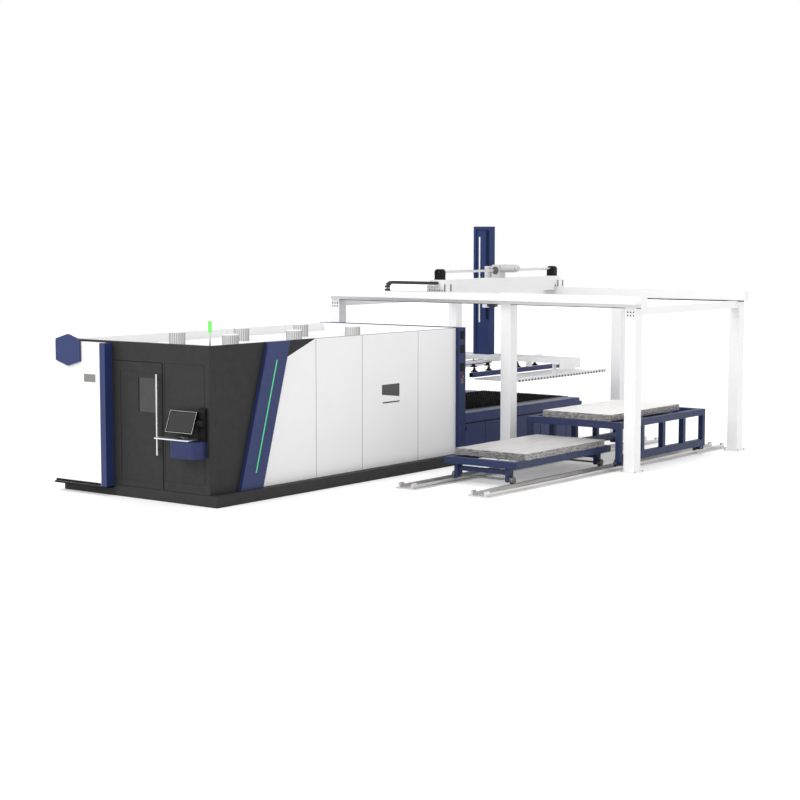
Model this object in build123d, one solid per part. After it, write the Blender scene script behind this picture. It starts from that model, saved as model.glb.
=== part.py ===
from build123d import *
import math
import os

# Sheet laser cutting cell: closed cabin, shuttle table, loading gantry and two sheet carts.
# Millimetres, +Z up. The origin is the middle of the cabin's plinth on the floor.
# The operator's door faces -Y, the shuttle table lies behind the cabin along +Y,
# and the sheet carts stand on the +X side.

# Small working sizes
overrun = 10.0            # how far a cutting tool runs past the face that it opens
running_gap = 0.08        # radial room of a shaft in its bearing
sliding_gap = 0.3         # room between pieces that pass each other
rolling_gap = 0.3         # room between a wheel's tread and its rail

# Cabin
plinth_length = 6640.0
plinth_height = 188.0
plinth_edge = 12.0        # chamfer round the plinth's top
cabin_inset = 148.0       # the side walls stand back from the plinth's edge
cabin_height = 2550.0     # top edge of the walls
roof_drop = 150.0         # the roof lies below the walls' top edge
roof_thickness = 35.0
upstand = 40.0            # roof's upright edge along the rear portal
panel_thickness = 40.0
seam_gap = 6.0
seam_shares = (0.3916, 0.5798, 0.8238)
frame_tube = 80.0

# Front wall, door and door housing
facing_depth = 50.0       # header and fixed panel in front of the wall sheet
wall_sheet = 50.0
fixed_panel_share = 0.3227   # of the cabin's width
door_share = 0.35305
door_drop = 314.0         # door's top below the walls' top edge
door_thickness = 44.0
door_header_gap = 9.0
doorway_share = 0.79825   # of the door's width
doorway_drop = 56.0       # below the door's top
doorway_margin = 80.0     # door lap over the doorway on its closing side
door_recess_side = 190.0
door_recess_top = 156.0
door_recess_depth = 6.0
pane_width = 440.0
pane_height = 590.0
pane_drop = 236.0
pane_side = 110.0         # from the door's closing edge to its window
pane_thickness = 12.0
handle_low = 750.0
handle_drop = 176.0
handle_radius = 17.0
handle_side = 65.0        # from the door's closing edge to the bar
handle_reach = 55.0       # bar's centre in front of the door
bracket_inset = 90.0      # bar end to its stand-off
standoff_radius = 12.0
pillar_lap = 8.0          # pillar in front of the door's rear edge
pillar_share = 0.0387
housing_over = 152.0      # housing past the cabin's left wall
housing_depth = 170.0
housing_skin = 40.0
housing_low = 160.0
housing_drop = 30.0
track_height = 30.0
track_end = 60.0          # bumper at the track's far end
outline_low = 340.0       # groove that outlines the fixed front panel
outline_margin = 60.0
groove_width = 8.0
groove_depth = 5.0

# Side band and window
band_foot = 645.0
band_lean = 695.0
band_width = 535.0
band_proud = 65.0
wedge_drop = 415.0        # dark corner above the white panel, at the band
light_inset = 235.0       # light bar from the band's rear edge
light_width = 26.0
light_depth = 14.0
light_low_share = 0.11
light_high_share = 0.873
window_inset = 550.128    # from the seam before its panel
window_length = 520.0
window_low = 1400.0
window_rise = 60.0
window_high = 1636.0
side_pane_thickness = 14.0

# Roof fittings
vent_radius = 118.0
vent_height = 230.0
vent_rim = 14.0
vent_rim_height = 60.0
vent_side = 620.0         # vents to the cabin's middle line
vent_shares = (0.2364, 0.4804, 0.7244)
lamp_back = 400.0         # lamp from the front face
lamp_side = 350.0         # lamp from the side wall's face
lamp_foot_radius = 45.0
lamp_foot_height = 20.0
lamp_pole_radius = 14.0
lamp_rise = 180.0         # lens above the walls' top edge
lamp_length = 190.0
lamp_radius = 32.0

# Rear portal
portal_proud = 74.0
portal_depth = 215.0
portal_rise = 6.0         # portal above the walls' top edge
portal_low = 200.0
portal_high = 1500.0
screen_width = 120.0
screen_height = 150.0
screen_depth = 6.0
screen_top_shares = (0.9734, 0.8709, 0.7390)
portal_stop_height = 1640.0

# Operator's console
pod_width = 555.0
pod_depth = 280.0
pod_low = 775.0
pod_high = 1045.0
pod_corner = 70.0
pod_side = 72.0           # from the side wall's face to the console box
tray_width = 760.0
tray_depth = 290.0
tray_low = 1055.0
tray_thickness = 20.0
tray_corner = 40.0
tray_side = 204.0
tray_neck = 200.0
screen_frame_width = 580.0
screen_frame_height = 356.0
screen_frame_depth = 34.0
screen_recess = 6.0
screen_bezel = 16.0
screen_centre_height = 1335.0
screen_centre_reach = 140.0
screen_tilt = 20.0
screen_side = 181.0
arm_width = 146.0
arm_high = 1570.0
arm_depth = 60.0
arm_side = 52.0
arm_hand = 90.0
button_radius = 19.0
button_stem_radius = 9.0
button_cap = 14.0
button_travel = 5.0
button_guide = 8.0        # stem inside its hole at rest
button_hole = 16.0
stop_place_share = 0.43
start_place_share = 0.68
button_back_share = 0.18

# Cutting bed and cutting axes
table_offset = 112.5      # pallet line beside the cabin's middle line
pallet_width = 2180.0
pallet_length = 4200.0
pallet_height = 125.0
pallet_rail = 70.0        # width of the pallet's side members
upper_level = 925.0       # top of the upper pallet
level_drop = 180.0        # lower pallet below the upper one
pallet_side_gap = 12.0
pallet_start_gap = 215.0  # from the portal to the pallet on the shuttle table
pallet_end_gap = 30.0
pallet_inside_gap = 370.0 # from the pallet inside to the cabin's rear end
slat_pitch = 165.0
slat_thickness = 8.0
slat_height = 70.0
slat_tooth = 18.0
slat_teeth = 9
cross_bar = 50.0
cross_bar_count = 4
ledge_width = 60.0
ledge_height = 40.0
bed_wall = 200.0
bed_aisle = 80.0          # between the bed and the cabin's frame
bed_high = 1010.0
bed_start = 720.0         # bed's front end from the cabin's front
bed_tie = 120.0
guide_width = 50.0
guide_height = 30.0
beam_depth = 260.0
beam_height = 220.0
truck_height = 90.0
truck_length = 420.0
beam_park = 1620.0        # cutting beam's parked place from the cabin's front
carriage_width = 300.0
carriage_depth = 110.0
carriage_height = 380.0
head_width = 110.0
head_depth = 120.0
head_height = 300.0
nozzle_radius = 42.0
nozzle_tip = 6.0
nozzle_length = 110.0
head_clearance = 150.0    # nozzle above the pallet at rest

# Shuttle table
shuttle_side = 310.0      # width of the side frame
shuttle_beam_low = 720.0
shuttle_high = 902.0
skirt_inset = 45.0
skirt_low = 40.0
shuttle_step = 90.0
shuttle_step_drop = 75.0
shuttle_tie = 110.0
foot_size = 160.0

# Loading gantry
post_size = 222.0
post_high = 2976.0
post_foot = 330.0
post_foot_height = 20.0
left_post_place = 2115.0  # left posts from the pallet line
inner_post_place = 2050.0
right_post_place = 4735.0
near_row = 749.0          # middle of the near posts behind the portal
row_distance = 4075.0
girder_height = 201.0
girder_left_over = 125.0
girder_right_over = 205.0
tie_beam_height = 136.0
tie_beam_width = 160.0
gantry_wall = 10.0
tray_depth_front = 190.0
tray_floor_drop = 92.0    # tray's floor below the girder's top
tray_floor = 40.0
tray_skin = 8.0

# Bridge, mast and drag chain
bridge_side = 420.0       # bridge beam from the pallet line
bridge_width = 300.0
bridge_rise = 58.0        # bridge beam above the girder's top
bridge_depth = 172.0
belly_depth = 118.0       # deeper part of the beam between the girders
belly_gap = 30.0
chain_bracket_width = 200.0
chain_bracket_thickness = 12.0
truck_width = 395.0
truck_rise = 153.0
truck_depth = 230.0
shaft_radius = 25.0
shaft_rise = 148.0        # shaft above the bridge beam
cover_width = 176.0
cover_depth = 130.0
cover_over = 58.0         # cover above the shaft
cover_setback = 20.0
gearbox_width = 190.0
gearbox_depth = 220.0
gearbox_over = 115.0
motor_radius = 75.0
motor_length = 330.0
motor_tail_radius = 55.0
motor_tail = 60.0
mast_width = 390.0
mast_depth = 200.0
mast_low = 1835.0
mast_rise = 1263.0        # mast's head above the girder's top
mast_flange = 60.0
mast_web = 30.0
mast_offset = 65.0
rack_width = 50.0
rack_depth = 40.0
rack_length = 1810.0
rack_drop = 70.0
guide_plate = 520.0
guide_plate_drop = 167.0
guide_plate_rise = 463.0
chain_width = 110.0
chain_thickness = 62.0
chain_pitch = 70.0
link_gap = 8.0
chain_rise = 168.0        # upper run above the girder's top
chain_loop_place = 590.0  # middle of the loop's bend from the pallet line, towards -X
chain_fixed_place = 1950.0

# Suction frame and fork combs
arm_tube = 80.0
arm_spread = 680.0
arm_reach = 2150.0
end_plate_drop = 200.0
end_plate_thickness = 14.0
side_beam_place = 950.0
side_beam_size = 90.0
side_beam_length = 3420.0
side_beam_drop = 325.0    # below the mast's foot
cup_tube = 50.0
cup_shares = (0.08, 0.27, 0.42, 0.58, 0.73, 0.92)
cup_side_shares = (0.40, -0.40)
cup_radius = 60.0
cup_neck = 16.0
cup_lip = 28.0
cup_drop = 305.0
comb_length = 3200.0
tine_count = 30
tine_size = 24.0
tine_length = 1050.0
tine_drop = 373.0
carrier_width = 60.0
carrier_height = 70.0
comb_inset = 150.0        # comb's outer face from the arm's end
hanger_width = 120.0
hanger_thickness = 16.0
shoe_height = 20.0

# Floor rails and sheet carts
cart_line = 3497.5        # carts' middle line from the pallet line
rail_bed_width = 430.0
rail_bed_height = 22.0
rail_ahead = 3405.0       # rails to either side of the portal's rear face
rail_behind = 5045.0
inner_gauge = 610.0
outer_gauge = 880.0
rail_width = 40.0
rail_height = 48.0
stop_length = 110.0
stop_height = 34.0
wheel_radius = 62.0
wheel_width = 46.0
flange_radius = 74.0
flange_width = 12.0
axle_radius = 18.0
sheet_width = 1480.0
sheet_length = 2620.0
stack_height = 120.0
lower_ahead = 2295.0      # lower cart's near end before the portal's rear face
lower_length = 3120.0
lower_deck_low = 335.0
lower_tie_low = 215.0
lower_tie_height = 80.0
lower_deck_high = 448.0
lower_deck_width = 1500.0
cart_rail = 120.0
lower_sheet_start = 310.0
lower_wheel_inset = 120.0
leg_width = 70.0
leg_length = 150.0
leg_low = 95.0
upper_behind = 705.0      # upper cart's near end behind the portal's rear face
upper_length = 3290.0
upper_deck_low = 765.0
upper_deck_high = 883.0
upper_width = 2024.0
upper_sheet_start = 130.0
upper_upright_count = 5
upper_foot_low = 160.0
upper_foot_high = 290.0
upper_tube = 100.0
upper_wheel_inset = 130.0

# Shared places worked out from the sizes above
front_y = -plinth_length / 2
rear_y = plinth_length / 2
wall_half = pallet_width / 2 + pallet_side_gap
cab_x = table_offset + wall_half + bed_wall + bed_aisle + frame_tube + panel_thickness
plinth_width = 2 * (cab_x + cabin_inset)
cabin_width = 2 * cab_x
inner_x = cab_x - panel_thickness
wall_y = front_y + facing_depth
inside_y = wall_y + wall_sheet
roof_top = cabin_height - roof_drop
roof_low = roof_top - roof_thickness
door_width = door_share * cabin_width
door_top = cabin_height - door_drop
doorway_width = doorway_share * door_width
doorway_top = door_top - doorway_drop
pane_high = door_top - pane_drop
pane_low = pane_high - pane_height
handle_high = door_top - handle_drop
housing_high = cabin_height - housing_drop
lamp_low = cabin_height + lamp_rise
portal_height = cabin_height + portal_rise
door_right = cab_x - fixed_panel_share * cabin_width
door_left = door_right - door_width
pillar_right = door_left + pillar_lap
pillar_left = pillar_right - pillar_share * cabin_width
housing_left = -cab_x - housing_over
housing_front = front_y - housing_depth
portal_y = (rear_y, rear_y + portal_depth)
table_x = table_offset
pallet_half = pallet_width / 2
table_start = portal_y[1]
pallet_rest_y = (table_start + pallet_start_gap, table_start + pallet_start_gap + pallet_length)
pallet_inside_y = (rear_y - pallet_inside_gap - pallet_length, rear_y - pallet_inside_gap)
shuttle_y = (table_start, pallet_rest_y[1] + pallet_end_gap)
near_y = table_start + near_row
far_y = near_y + row_distance
girder_high = post_high + girder_height
girder_low = post_high
tray_floor_high = girder_high - tray_floor_drop
bridge_low = girder_high + bridge_rise
bridge_high = bridge_low + bridge_depth
shaft_height = bridge_high + shaft_rise
gearbox_high = shaft_height + gearbox_over
mast_high = girder_high + mast_rise
rack_high = mast_high - rack_drop
chain_upper_height = girder_high + chain_rise
chain_lower_height = tray_floor_high + chain_thickness / 2 + sliding_gap
side_beam_low = mast_low - side_beam_drop
cup_low = mast_low - cup_drop
tine_low = mast_low - tine_drop
post_xs = [table_x - left_post_place, table_x + inner_post_place, table_x + right_post_place]
girder_x = (post_xs[0] - girder_left_over, post_xs[-1] + girder_right_over)
bridge_x = table_x + bridge_side
mid_y = (near_y + far_y) / 2
mast_x = table_x + mast_offset
mast_right = mast_x + mast_width / 2
carts_x = table_x + cart_line
lower_y = (table_start - lower_ahead, table_start - lower_ahead + lower_length)
upper_y = (table_start + upper_behind, table_start + upper_behind + upper_length)
rail_top = rail_bed_height + rail_height
axle_height = rail_top + wheel_radius + rolling_gap


def block(x, y, z):
    """A rectangular piece between its limits along X, Y and Z."""
    limits = (x, y, z)
    size = [high - low for low, high in limits]
    middle = [(high + low) / 2 for low, high in limits]
    return Pos(*middle) * Box(*size)


def about(middle, width):
    """Limits of a width laid out about its middle."""
    return (middle - width / 2, middle + width / 2)


def outline_xy(points, z):
    """A plate with an outline seen from above, between two heights."""
    face = make_face(Polyline(*points, close=True))
    return extrude(Plane.XY.offset(z[0]) * face, amount=z[1] - z[0])


def outline_yz(points, x):
    """A plate with an outline seen from the side, between two X limits."""
    face = make_face(Polyline(*points, close=True))
    return extrude(Plane.YZ.offset(x[0]) * face, amount=x[1] - x[0])


def outline_xz(points, y):
    """A plate with an outline seen from the front, between two Y limits."""
    face = make_face(Polyline(*points, close=True))
    return extrude(Plane.XZ.offset(-y[1]) * face, amount=y[1] - y[0])


def box_tube(x, y, z, wall, along):
    """A rectangular hollow section, open at both ends along the named axis."""
    def shrink(limits, axis):
        if axis == along:
            return (limits[0] - overrun, limits[1] + overrun)
        return (limits[0] + wall, limits[1] - wall)

    return block(x, y, z) - block(shrink(x, "x"), shrink(y, "y"), shrink(z, "z"))


def rod_x(x, y, z, radius):
    """A round bar along X."""
    return Pos((x[0] + x[1]) / 2, y, z) * Rot(0, 90, 0) * Cylinder(radius, x[1] - x[0])


def rod_y(x, y, z, radius):
    """A round bar along Y."""
    return Pos(x, (y[0] + y[1]) / 2, z) * Rot(90, 0, 0) * Cylinder(radius, y[1] - y[0])


def rod_z(x, y, z, radius):
    """A round bar along Z."""
    return Pos(x, y, (z[0] + z[1]) / 2) * Cylinder(radius, z[1] - z[0])


def solids_of(pieces):
    """All solids of a list of shapes, in order."""
    found = []
    for piece in pieces:
        found.extend(piece.solids())
    return found


def save(name, *pieces):
    """Write one sub-part with all its separate solids."""
    found = solids_of(pieces)
    whole = found[0] if len(found) == 1 else Compound(children=found)
    export_step(whole, os.path.join("parts", name + ".step"))
    return found


os.makedirs("parts", exist_ok=True)


# Cabin shell

def base_plinth():
    body = block(about(0, plinth_width), about(0, plinth_length), (0, plinth_height))
    top_edges = body.edges().group_by(Axis.Z)[-1]
    return chamfer(top_edges, plinth_edge)


def seam_places():
    return [front_y + share * plinth_length for share in seam_shares]


def cabin_frame():
    """Welded tube frame that carries the wall panels and the roof."""
    places = [inside_y + frame_tube / 2] + seam_places() + [rear_y - frame_tube / 2]
    posts_z = (plinth_height, roof_low)
    rail_z = (roof_low - frame_tube, roof_low)
    frame = None
    for side in (-1, 1):
        x = sorted((side * inner_x, side * (inner_x - frame_tube)))
        rail = block(x, (inside_y, rear_y), rail_z)
        frame = rail if frame is None else frame + rail
        for y in places:
            frame += block(x, about(y, frame_tube), posts_z)
    for y in places:
        frame += block((-inner_x, inner_x), about(y, frame_tube), rail_z)
    return frame


def front_frame():
    """Front wall sheet with the doorway, its header and the fixed panel beside the door."""
    wall = block((-cab_x, inner_x), (wall_y, inside_y), (plinth_height, roof_low))
    doorway_x = (door_right - doorway_margin - doorway_width, door_right - doorway_margin)
    wall -= block(doorway_x, (wall_y - overrun, inside_y + overrun), (plinth_height - overrun, doorway_top))
    header = block((-cab_x, inner_x), (front_y, inside_y), (door_top + door_header_gap, cabin_height))
    fixed = block((door_right + sliding_gap, inner_x), (front_y, wall_y), (plinth_height, cabin_height))
    frame = wall + header + fixed
    outer = (door_right + outline_margin, inner_x - outline_margin)
    groove_y = (front_y - overrun, front_y + groove_depth)
    high = door_top + door_header_gap
    ring = block(outer, groove_y, (outline_low, high))
    inner = (outer[0] + groove_width, outer[1] - groove_width)
    inner_z = (outline_low + groove_width, high - groove_width)
    ring -= block(inner, (groove_y[0] - overrun, groove_y[1] + overrun), inner_z)
    return frame - ring


def front_housing():
    """White folded housing that the door slides into, closed at its far side and on top."""
    back = (inside_y - housing_skin, inside_y)
    plan = [
        (pillar_left, housing_front),
        (housing_left, housing_front),
        (housing_left, back[1]),
        (-cab_x, back[1]),
        (-cab_x, back[0]),
        (housing_left + housing_skin, back[0]),
        (housing_left + housing_skin, housing_front + housing_skin),
        (pillar_left, housing_front + housing_skin),
    ]
    shell = outline_xy(plan, (housing_low, housing_high))
    cap_z = (housing_high - housing_skin, housing_high)
    cap = block((housing_left, pillar_left), (housing_front, front_y), cap_z)
    seat = block(about(0, plinth_width), (front_y, rear_y), (0, plinth_height))
    return shell + cap - seat


def front_pillar():
    """Blue corner pillar between the housing and the doorway."""
    plan = [
        (pillar_left, housing_front),
        (pillar_right, housing_front),
        (pillar_right, front_y - sliding_gap),
        (pillar_right - housing_skin, front_y - sliding_gap),
        (pillar_right - housing_skin, housing_front + housing_skin),
        (pillar_left, housing_front + housing_skin),
    ]
    shell = outline_xy(plan, (housing_low, housing_high))
    cap_z = (housing_high - housing_skin, housing_high)
    cap = block((pillar_left, pillar_right), (housing_front, front_y), cap_z)
    return shell + cap


def door_track():
    """Sill under the housing, fixed to the plinth's front, with a rubber bumper at its end."""
    z = (housing_low - track_height, housing_low)
    sill = block((housing_left, pillar_right), (housing_front, front_y), z)
    bumper = block((housing_left - track_end, housing_left), (housing_front, front_y), z)
    return sill + fillet(bumper.edges().filter_by(Axis.Y), track_height / 3)


def front_door():
    y = (front_y, front_y + door_thickness)
    low = plinth_height + sliding_gap
    leaf = block((door_left, door_right), y, (low, door_top))
    recess_x = (door_left + door_recess_side, door_right - door_recess_side / 4)
    recess_y = (front_y - overrun, front_y + door_recess_depth)
    leaf -= block(recess_x, recess_y, (low + door_recess_side / 2, door_top - door_recess_top))
    return leaf - block(pane_x(), (y[0] - overrun, y[1] + overrun), (pane_low, pane_high))


def pane_x():
    return (door_right - pane_side - pane_width, door_right - pane_side)


def door_window():
    return block(pane_x(), about(front_y + door_thickness / 2, pane_thickness), (pane_low, pane_high))


def door_handle():
    """Long bar handle on two stand-offs that seat in the door's recessed face."""
    x = door_right - handle_side
    y = front_y - handle_reach
    bar = rod_z(x, y, (handle_low, handle_high), handle_radius)
    for z in (handle_low + bracket_inset, handle_high - bracket_inset):
        bar += rod_y(x, (y, front_y + door_recess_depth), z, standoff_radius)
    return bar


def band_line(z, offset):
    """Y of the slanted band's edge at a height."""
    share = (z - plinth_height) / (cabin_height - plinth_height)
    return front_y + band_foot + offset + band_lean * share


def side_dark_panel():
    middle = band_width / 2
    wedge_z = cabin_height - wedge_drop
    points = [
        (front_y, plinth_height),
        (band_line(plinth_height, middle), plinth_height),
        (band_line(wedge_z, middle), wedge_z),
        (seam_places()[0] - seam_gap, cabin_height),
        (front_y, cabin_height),
    ]
    return outline_yz(points, (inner_x, cab_x))


def side_band():
    """Blue band that stands proud of the side wall, with a slot for its light."""
    points = [
        (band_line(plinth_height, 0), plinth_height),
        (band_line(plinth_height, band_width), plinth_height),
        (band_line(cabin_height, band_width), cabin_height),
        (band_line(cabin_height, 0), cabin_height),
    ]
    x = (cab_x, cab_x + band_proud)
    slot = outline_yz(light_points(), (x[1] - light_depth, x[1] + overrun))
    return outline_yz(points, x) - slot


def light_points():
    height = cabin_height - plinth_height
    low = plinth_height + light_low_share * height
    high = plinth_height + light_high_share * height
    rear = band_width - light_inset
    return [
        (band_line(low, rear - light_width), low),
        (band_line(low, rear), low),
        (band_line(high, rear), high),
        (band_line(high, rear - light_width), high),
    ]


def window_points():
    start = seam_places()[1] + window_inset
    end = start + window_length
    return [
        (start, window_low + window_rise),
        (end, window_low),
        (end, window_high),
        (start, window_high),
    ]


def side_panels():
    """Four hung wall panels on the long side, the third with the window."""
    seams = seam_places()
    middle = band_width / 2
    wedge_z = cabin_height - wedge_drop
    first = [
        (band_line(plinth_height, middle), plinth_height),
        (seams[0] - seam_gap, plinth_height),
        (seams[0] - seam_gap, cabin_height),
        (band_line(wedge_z, middle), wedge_z),
    ]
    x = (inner_x, cab_x)
    panels = [outline_yz(first, x)]
    ends = [seam - seam_gap for seam in seams[1:]] + [rear_y]
    for start, end in zip(seams, ends):
        panels.append(block(x, (start, end), (plinth_height, cabin_height)))
    panels[2] -= outline_yz(window_points(), (inner_x - overrun, cab_x + overrun))
    return panels


def side_window():
    return outline_yz(window_points(), about((inner_x + cab_x) / 2, side_pane_thickness))


def left_panels():
    starts = [inside_y] + seam_places()
    ends = [seam - seam_gap for seam in seam_places()] + [rear_y]
    x = (-cab_x, -inner_x)
    return [block(x, (start, end), (plinth_height, cabin_height)) for start, end in zip(starts, ends)]


def roof():
    """Roof sheet, turned up along the rear portal to the walls' top edge."""
    sheet = block((-inner_x, inner_x), (inside_y, rear_y), (roof_low, roof_top))
    return sheet + block((-inner_x, inner_x), (rear_y - upstand, rear_y), (roof_top, cabin_height))


def roof_vents():
    """Short duct collars closed by a cap with a wider rim."""
    neck_high = vent_height - vent_rim_height
    profile = [
        (0, 0),
        (vent_radius, 0),
        (vent_radius, neck_high),
        (vent_radius + vent_rim, neck_high),
        (vent_radius + vent_rim, vent_height),
        (0, vent_height),
    ]
    collar = revolve(make_face(Plane.XZ * Polyline(*profile, close=True)), Axis.Z)
    collars = []
    for share in vent_shares:
        for side in (-1, 1):
            collars.append(Pos(side * vent_side, front_y + share * plinth_length, roof_top) * collar)
    return collars


def lamp_place():
    return (cab_x - lamp_side, front_y + lamp_back)


def lamp_pole():
    x, y = lamp_place()
    foot = rod_z(x, y, (roof_top, roof_top + lamp_foot_height), lamp_foot_radius)
    return foot + rod_z(x, y, (roof_top, lamp_low), lamp_pole_radius)


def lamp_lens():
    x, y = lamp_place()
    return rod_z(x, y, (lamp_low, lamp_low + lamp_length), lamp_radius)


def rear_portal():
    """Rear end frame of the cabin, open where the pallets pass."""
    half = cab_x + portal_proud
    body = block((-half, half), portal_y, (0, portal_height))
    opening_x = about(table_x, 2 * (wall_half + bed_wall))
    body -= block(opening_x, (portal_y[0] - overrun, portal_y[1] + overrun), (portal_low, portal_high))
    return body - portal_place() * button_bore()


def portal_screens():
    x = (cab_x + portal_proud, cab_x + portal_proud + screen_depth)
    y = about((portal_y[0] + portal_y[1]) / 2, screen_width)
    tops = [share * portal_height for share in screen_top_shares]
    return [block(x, y, (top - screen_height, top)) for top in tops]


# Operator's console

def pod_x():
    right = cab_x - pod_side
    return (right - pod_width, right)


def console_pod():
    body = block(pod_x(), (front_y - pod_depth, front_y), (pod_low, pod_high))
    upright = body.edges().filter_by(Axis.Z).group_by(Axis.Y)[0]
    body = fillet(upright, pod_corner)
    neck_x = about(sum(pod_x()) / 2, tray_neck)
    neck = block(neck_x, (front_y - pod_depth / 2, front_y), (pod_high, tray_low))
    return body + neck


def tray_limits():
    right = cab_x - tray_side
    return (right - tray_width, right), (front_y - tray_depth, front_y)


def keyboard_tray():
    x, y = tray_limits()
    body = block(x, y, (tray_low, tray_low + tray_thickness))
    upright = body.edges().filter_by(Axis.Z).group_by(Axis.Y)[0]
    body = fillet(upright, tray_corner)
    for share in (stop_place_share, start_place_share):
        body -= tray_place(share) * button_bore()
    return body


def monitor():
    """Flat screen in its frame, tilted back on the console's arm."""
    frame = Box(screen_frame_width, screen_frame_depth, screen_frame_height)
    glass_width = screen_frame_width - 2 * screen_bezel
    glass_height = screen_frame_height - 2 * screen_bezel
    recess = Box(glass_width, 2 * screen_recess, glass_height)
    frame -= Pos(0, -screen_frame_depth / 2, 0) * recess
    x = cab_x - screen_side - screen_frame_width / 2
    return Pos(x, front_y - screen_centre_reach, screen_centre_height) * Rot(-screen_tilt, 0, 0) * frame


def console_bracket():
    """Upright at the console's side and the hand that holds the screen."""
    right = cab_x - arm_side
    upright = block((right - arm_width, right), (front_y - arm_depth, front_y), (pod_high, arm_high))
    reach = screen_centre_reach - screen_frame_depth / 2 / math.cos(math.radians(screen_tilt))
    x = (cab_x - screen_side - screen_frame_width / 2, right)
    hand = block(x, (front_y - reach, front_y), about(screen_centre_height, arm_hand))
    return upright + hand - monitor_envelope()


def monitor_envelope():
    """The tilted space that the screen's back plane bounds."""
    x = cab_x - screen_side - screen_frame_width / 2
    deep = screen_frame_width
    tool = Box(2 * screen_frame_width, deep, 2 * screen_frame_height)
    tool = Pos(0, screen_frame_depth / 2 - deep / 2, 0) * tool
    return Pos(x, front_y - screen_centre_reach, screen_centre_height) * Rot(-screen_tilt, 0, 0) * tool


def push_button():
    """Mushroom button with its stem, standing on the plane of its base."""
    cap = rod_z(0, 0, (button_travel, button_travel + button_cap), button_radius)
    stem = rod_z(0, 0, (-button_guide, button_travel), button_stem_radius)
    return cap + stem


def button_bore():
    """Hole that a button's stem travels in, below the plane of its base."""
    return rod_z(0, 0, (-button_hole, overrun), button_stem_radius + running_gap)


def tray_place(share):
    """Where a button stands on the keyboard tray."""
    x, y = tray_limits()
    place = (x[0] + share * tray_width, y[1] - button_back_share * tray_depth)
    return Pos(*place, tray_low + tray_thickness)


def portal_place():
    """Where the stop button stands on the portal's side, facing +X."""
    y = (portal_y[0] + portal_y[1]) / 2
    return Pos(cab_x + portal_proud, y, portal_stop_height) * Rot(0, 90, 0)


# Cutting bed and axes

def bed_sides():
    """X limits of the bed's two walls, left then right."""
    left = (table_x - wall_half - bed_wall, table_x - wall_half)
    right = (table_x + wall_half, table_x + wall_half + bed_wall)
    return left, right


def ledge_levels():
    """Top heights of the two pallet ledges, upper then lower."""
    upper = upper_level - pallet_height
    return upper, upper - level_drop


def ledges(y):
    """Wear ledges that both pallets slide on, along a pair of walls."""
    bars = []
    for top in ledge_levels():
        z = (top - ledge_height, top)
        for side in (-1, 1):
            outer = table_x + side * wall_half
            inner = table_x + side * (wall_half - ledge_width)
            bars.append(block(sorted((outer, inner)), y, z))
    return bars


def machine_bed():
    """Two bed walls with their guide rails, bolted ledges and the ties between them."""
    y = (front_y + bed_start, rear_y)
    pieces = ledges(y)
    for x in bed_sides():
        pieces.append(block(x, y, (plinth_height, bed_high)))
        guide_x = about((x[0] + x[1]) / 2, guide_width)
        pieces.append(block(guide_x, y, (bed_high, bed_high + guide_height)))
    across = (bed_sides()[0][1], bed_sides()[1][0])
    for place in (y[0], y[1] - bed_tie):
        pieces.append(block(across, (place, place + bed_tie), (plinth_height, plinth_height + bed_tie)))
    return pieces


def beam_y():
    return about(front_y + beam_park, beam_depth)


def cutting_beam():
    """Beam across the bed on two trucks that straddle the guide rails."""
    truck_z = (bed_high + guide_height, bed_high + guide_height + truck_height)
    x = (bed_sides()[0][0], bed_sides()[1][1])
    beam = block(x, beam_y(), (truck_z[1], truck_z[1] + beam_height))
    for side in bed_sides():
        beam += block(side, about(front_y + beam_park, truck_length), truck_z)
    return beam


def carriage_y():
    return (beam_y()[0] - carriage_depth, beam_y()[0])


def beam_top():
    return bed_high + guide_height + truck_height + beam_height


def head_carriage():
    z = (beam_top() - carriage_height, beam_top())
    body = block(about(table_x, carriage_width), carriage_y(), z)
    return chamfer(body.edges().filter_by(Axis.Z).group_by(Axis.Y)[0], carriage_depth / 4)


def cutting_head():
    """Cutting head with its tapered nozzle, hung on the carriage's front."""
    y = (carriage_y()[0] - head_depth, carriage_y()[0])
    tip = upper_level + head_clearance
    z = (tip + nozzle_length, tip + nozzle_length + head_height)
    body = block(about(table_x, head_width), y, z)
    cone = Cone(nozzle_tip, nozzle_radius, nozzle_length)
    return body + Pos(table_x, (y[0] + y[1]) / 2, tip + nozzle_length / 2) * cone


def pallet_frame(y, top):
    """Pallet frame: two side members notched for the slats, joined by cross bars."""
    z = (top - pallet_height, top - slat_tooth)
    frame = None
    for side in (-1, 1):
        x = sorted((table_x + side * pallet_half, table_x + side * (pallet_half - pallet_rail)))
        member = block(x, y, z)
        frame = member if frame is None else frame + member
    bar_z = (z[0], top - slat_height - slat_tooth)
    inner = (table_x - pallet_half + pallet_rail, table_x + pallet_half - pallet_rail)
    step = (y[1] - y[0] - cross_bar) / (cross_bar_count - 1)
    for place in range(cross_bar_count):
        start = y[0] + place * step
        frame += block(inner, (start, start + cross_bar), bar_z)
    return frame


def slats(y, top):
    """Toothed support slats between the pallet's side members."""
    inner = (table_x - pallet_half + pallet_rail, table_x + pallet_half - pallet_rail)
    low = top - slat_height - slat_tooth
    valley = top - slat_tooth
    tooth = (inner[1] - inner[0]) / slat_teeth
    points = [(inner[0], low), (inner[1], low), (inner[1], valley)]
    for count in range(slat_teeth):
        right = inner[1] - count * tooth
        points.append((right - tooth / 2, top))
        points.append((right - tooth, valley))
    number = int((y[1] - y[0] - cross_bar) / slat_pitch)
    start = y[0] + (y[1] - y[0] - (number - 1) * slat_pitch) / 2
    slat = outline_xz(points, about(0, slat_thickness))
    return [Pos(0, start + count * slat_pitch, 0) * slat for count in range(number)]


def pallet(y, top):
    """A pallet frame with its loose slats standing in it."""
    return [pallet_frame(y, top)] + slats(y, top)


# Shuttle table

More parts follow.
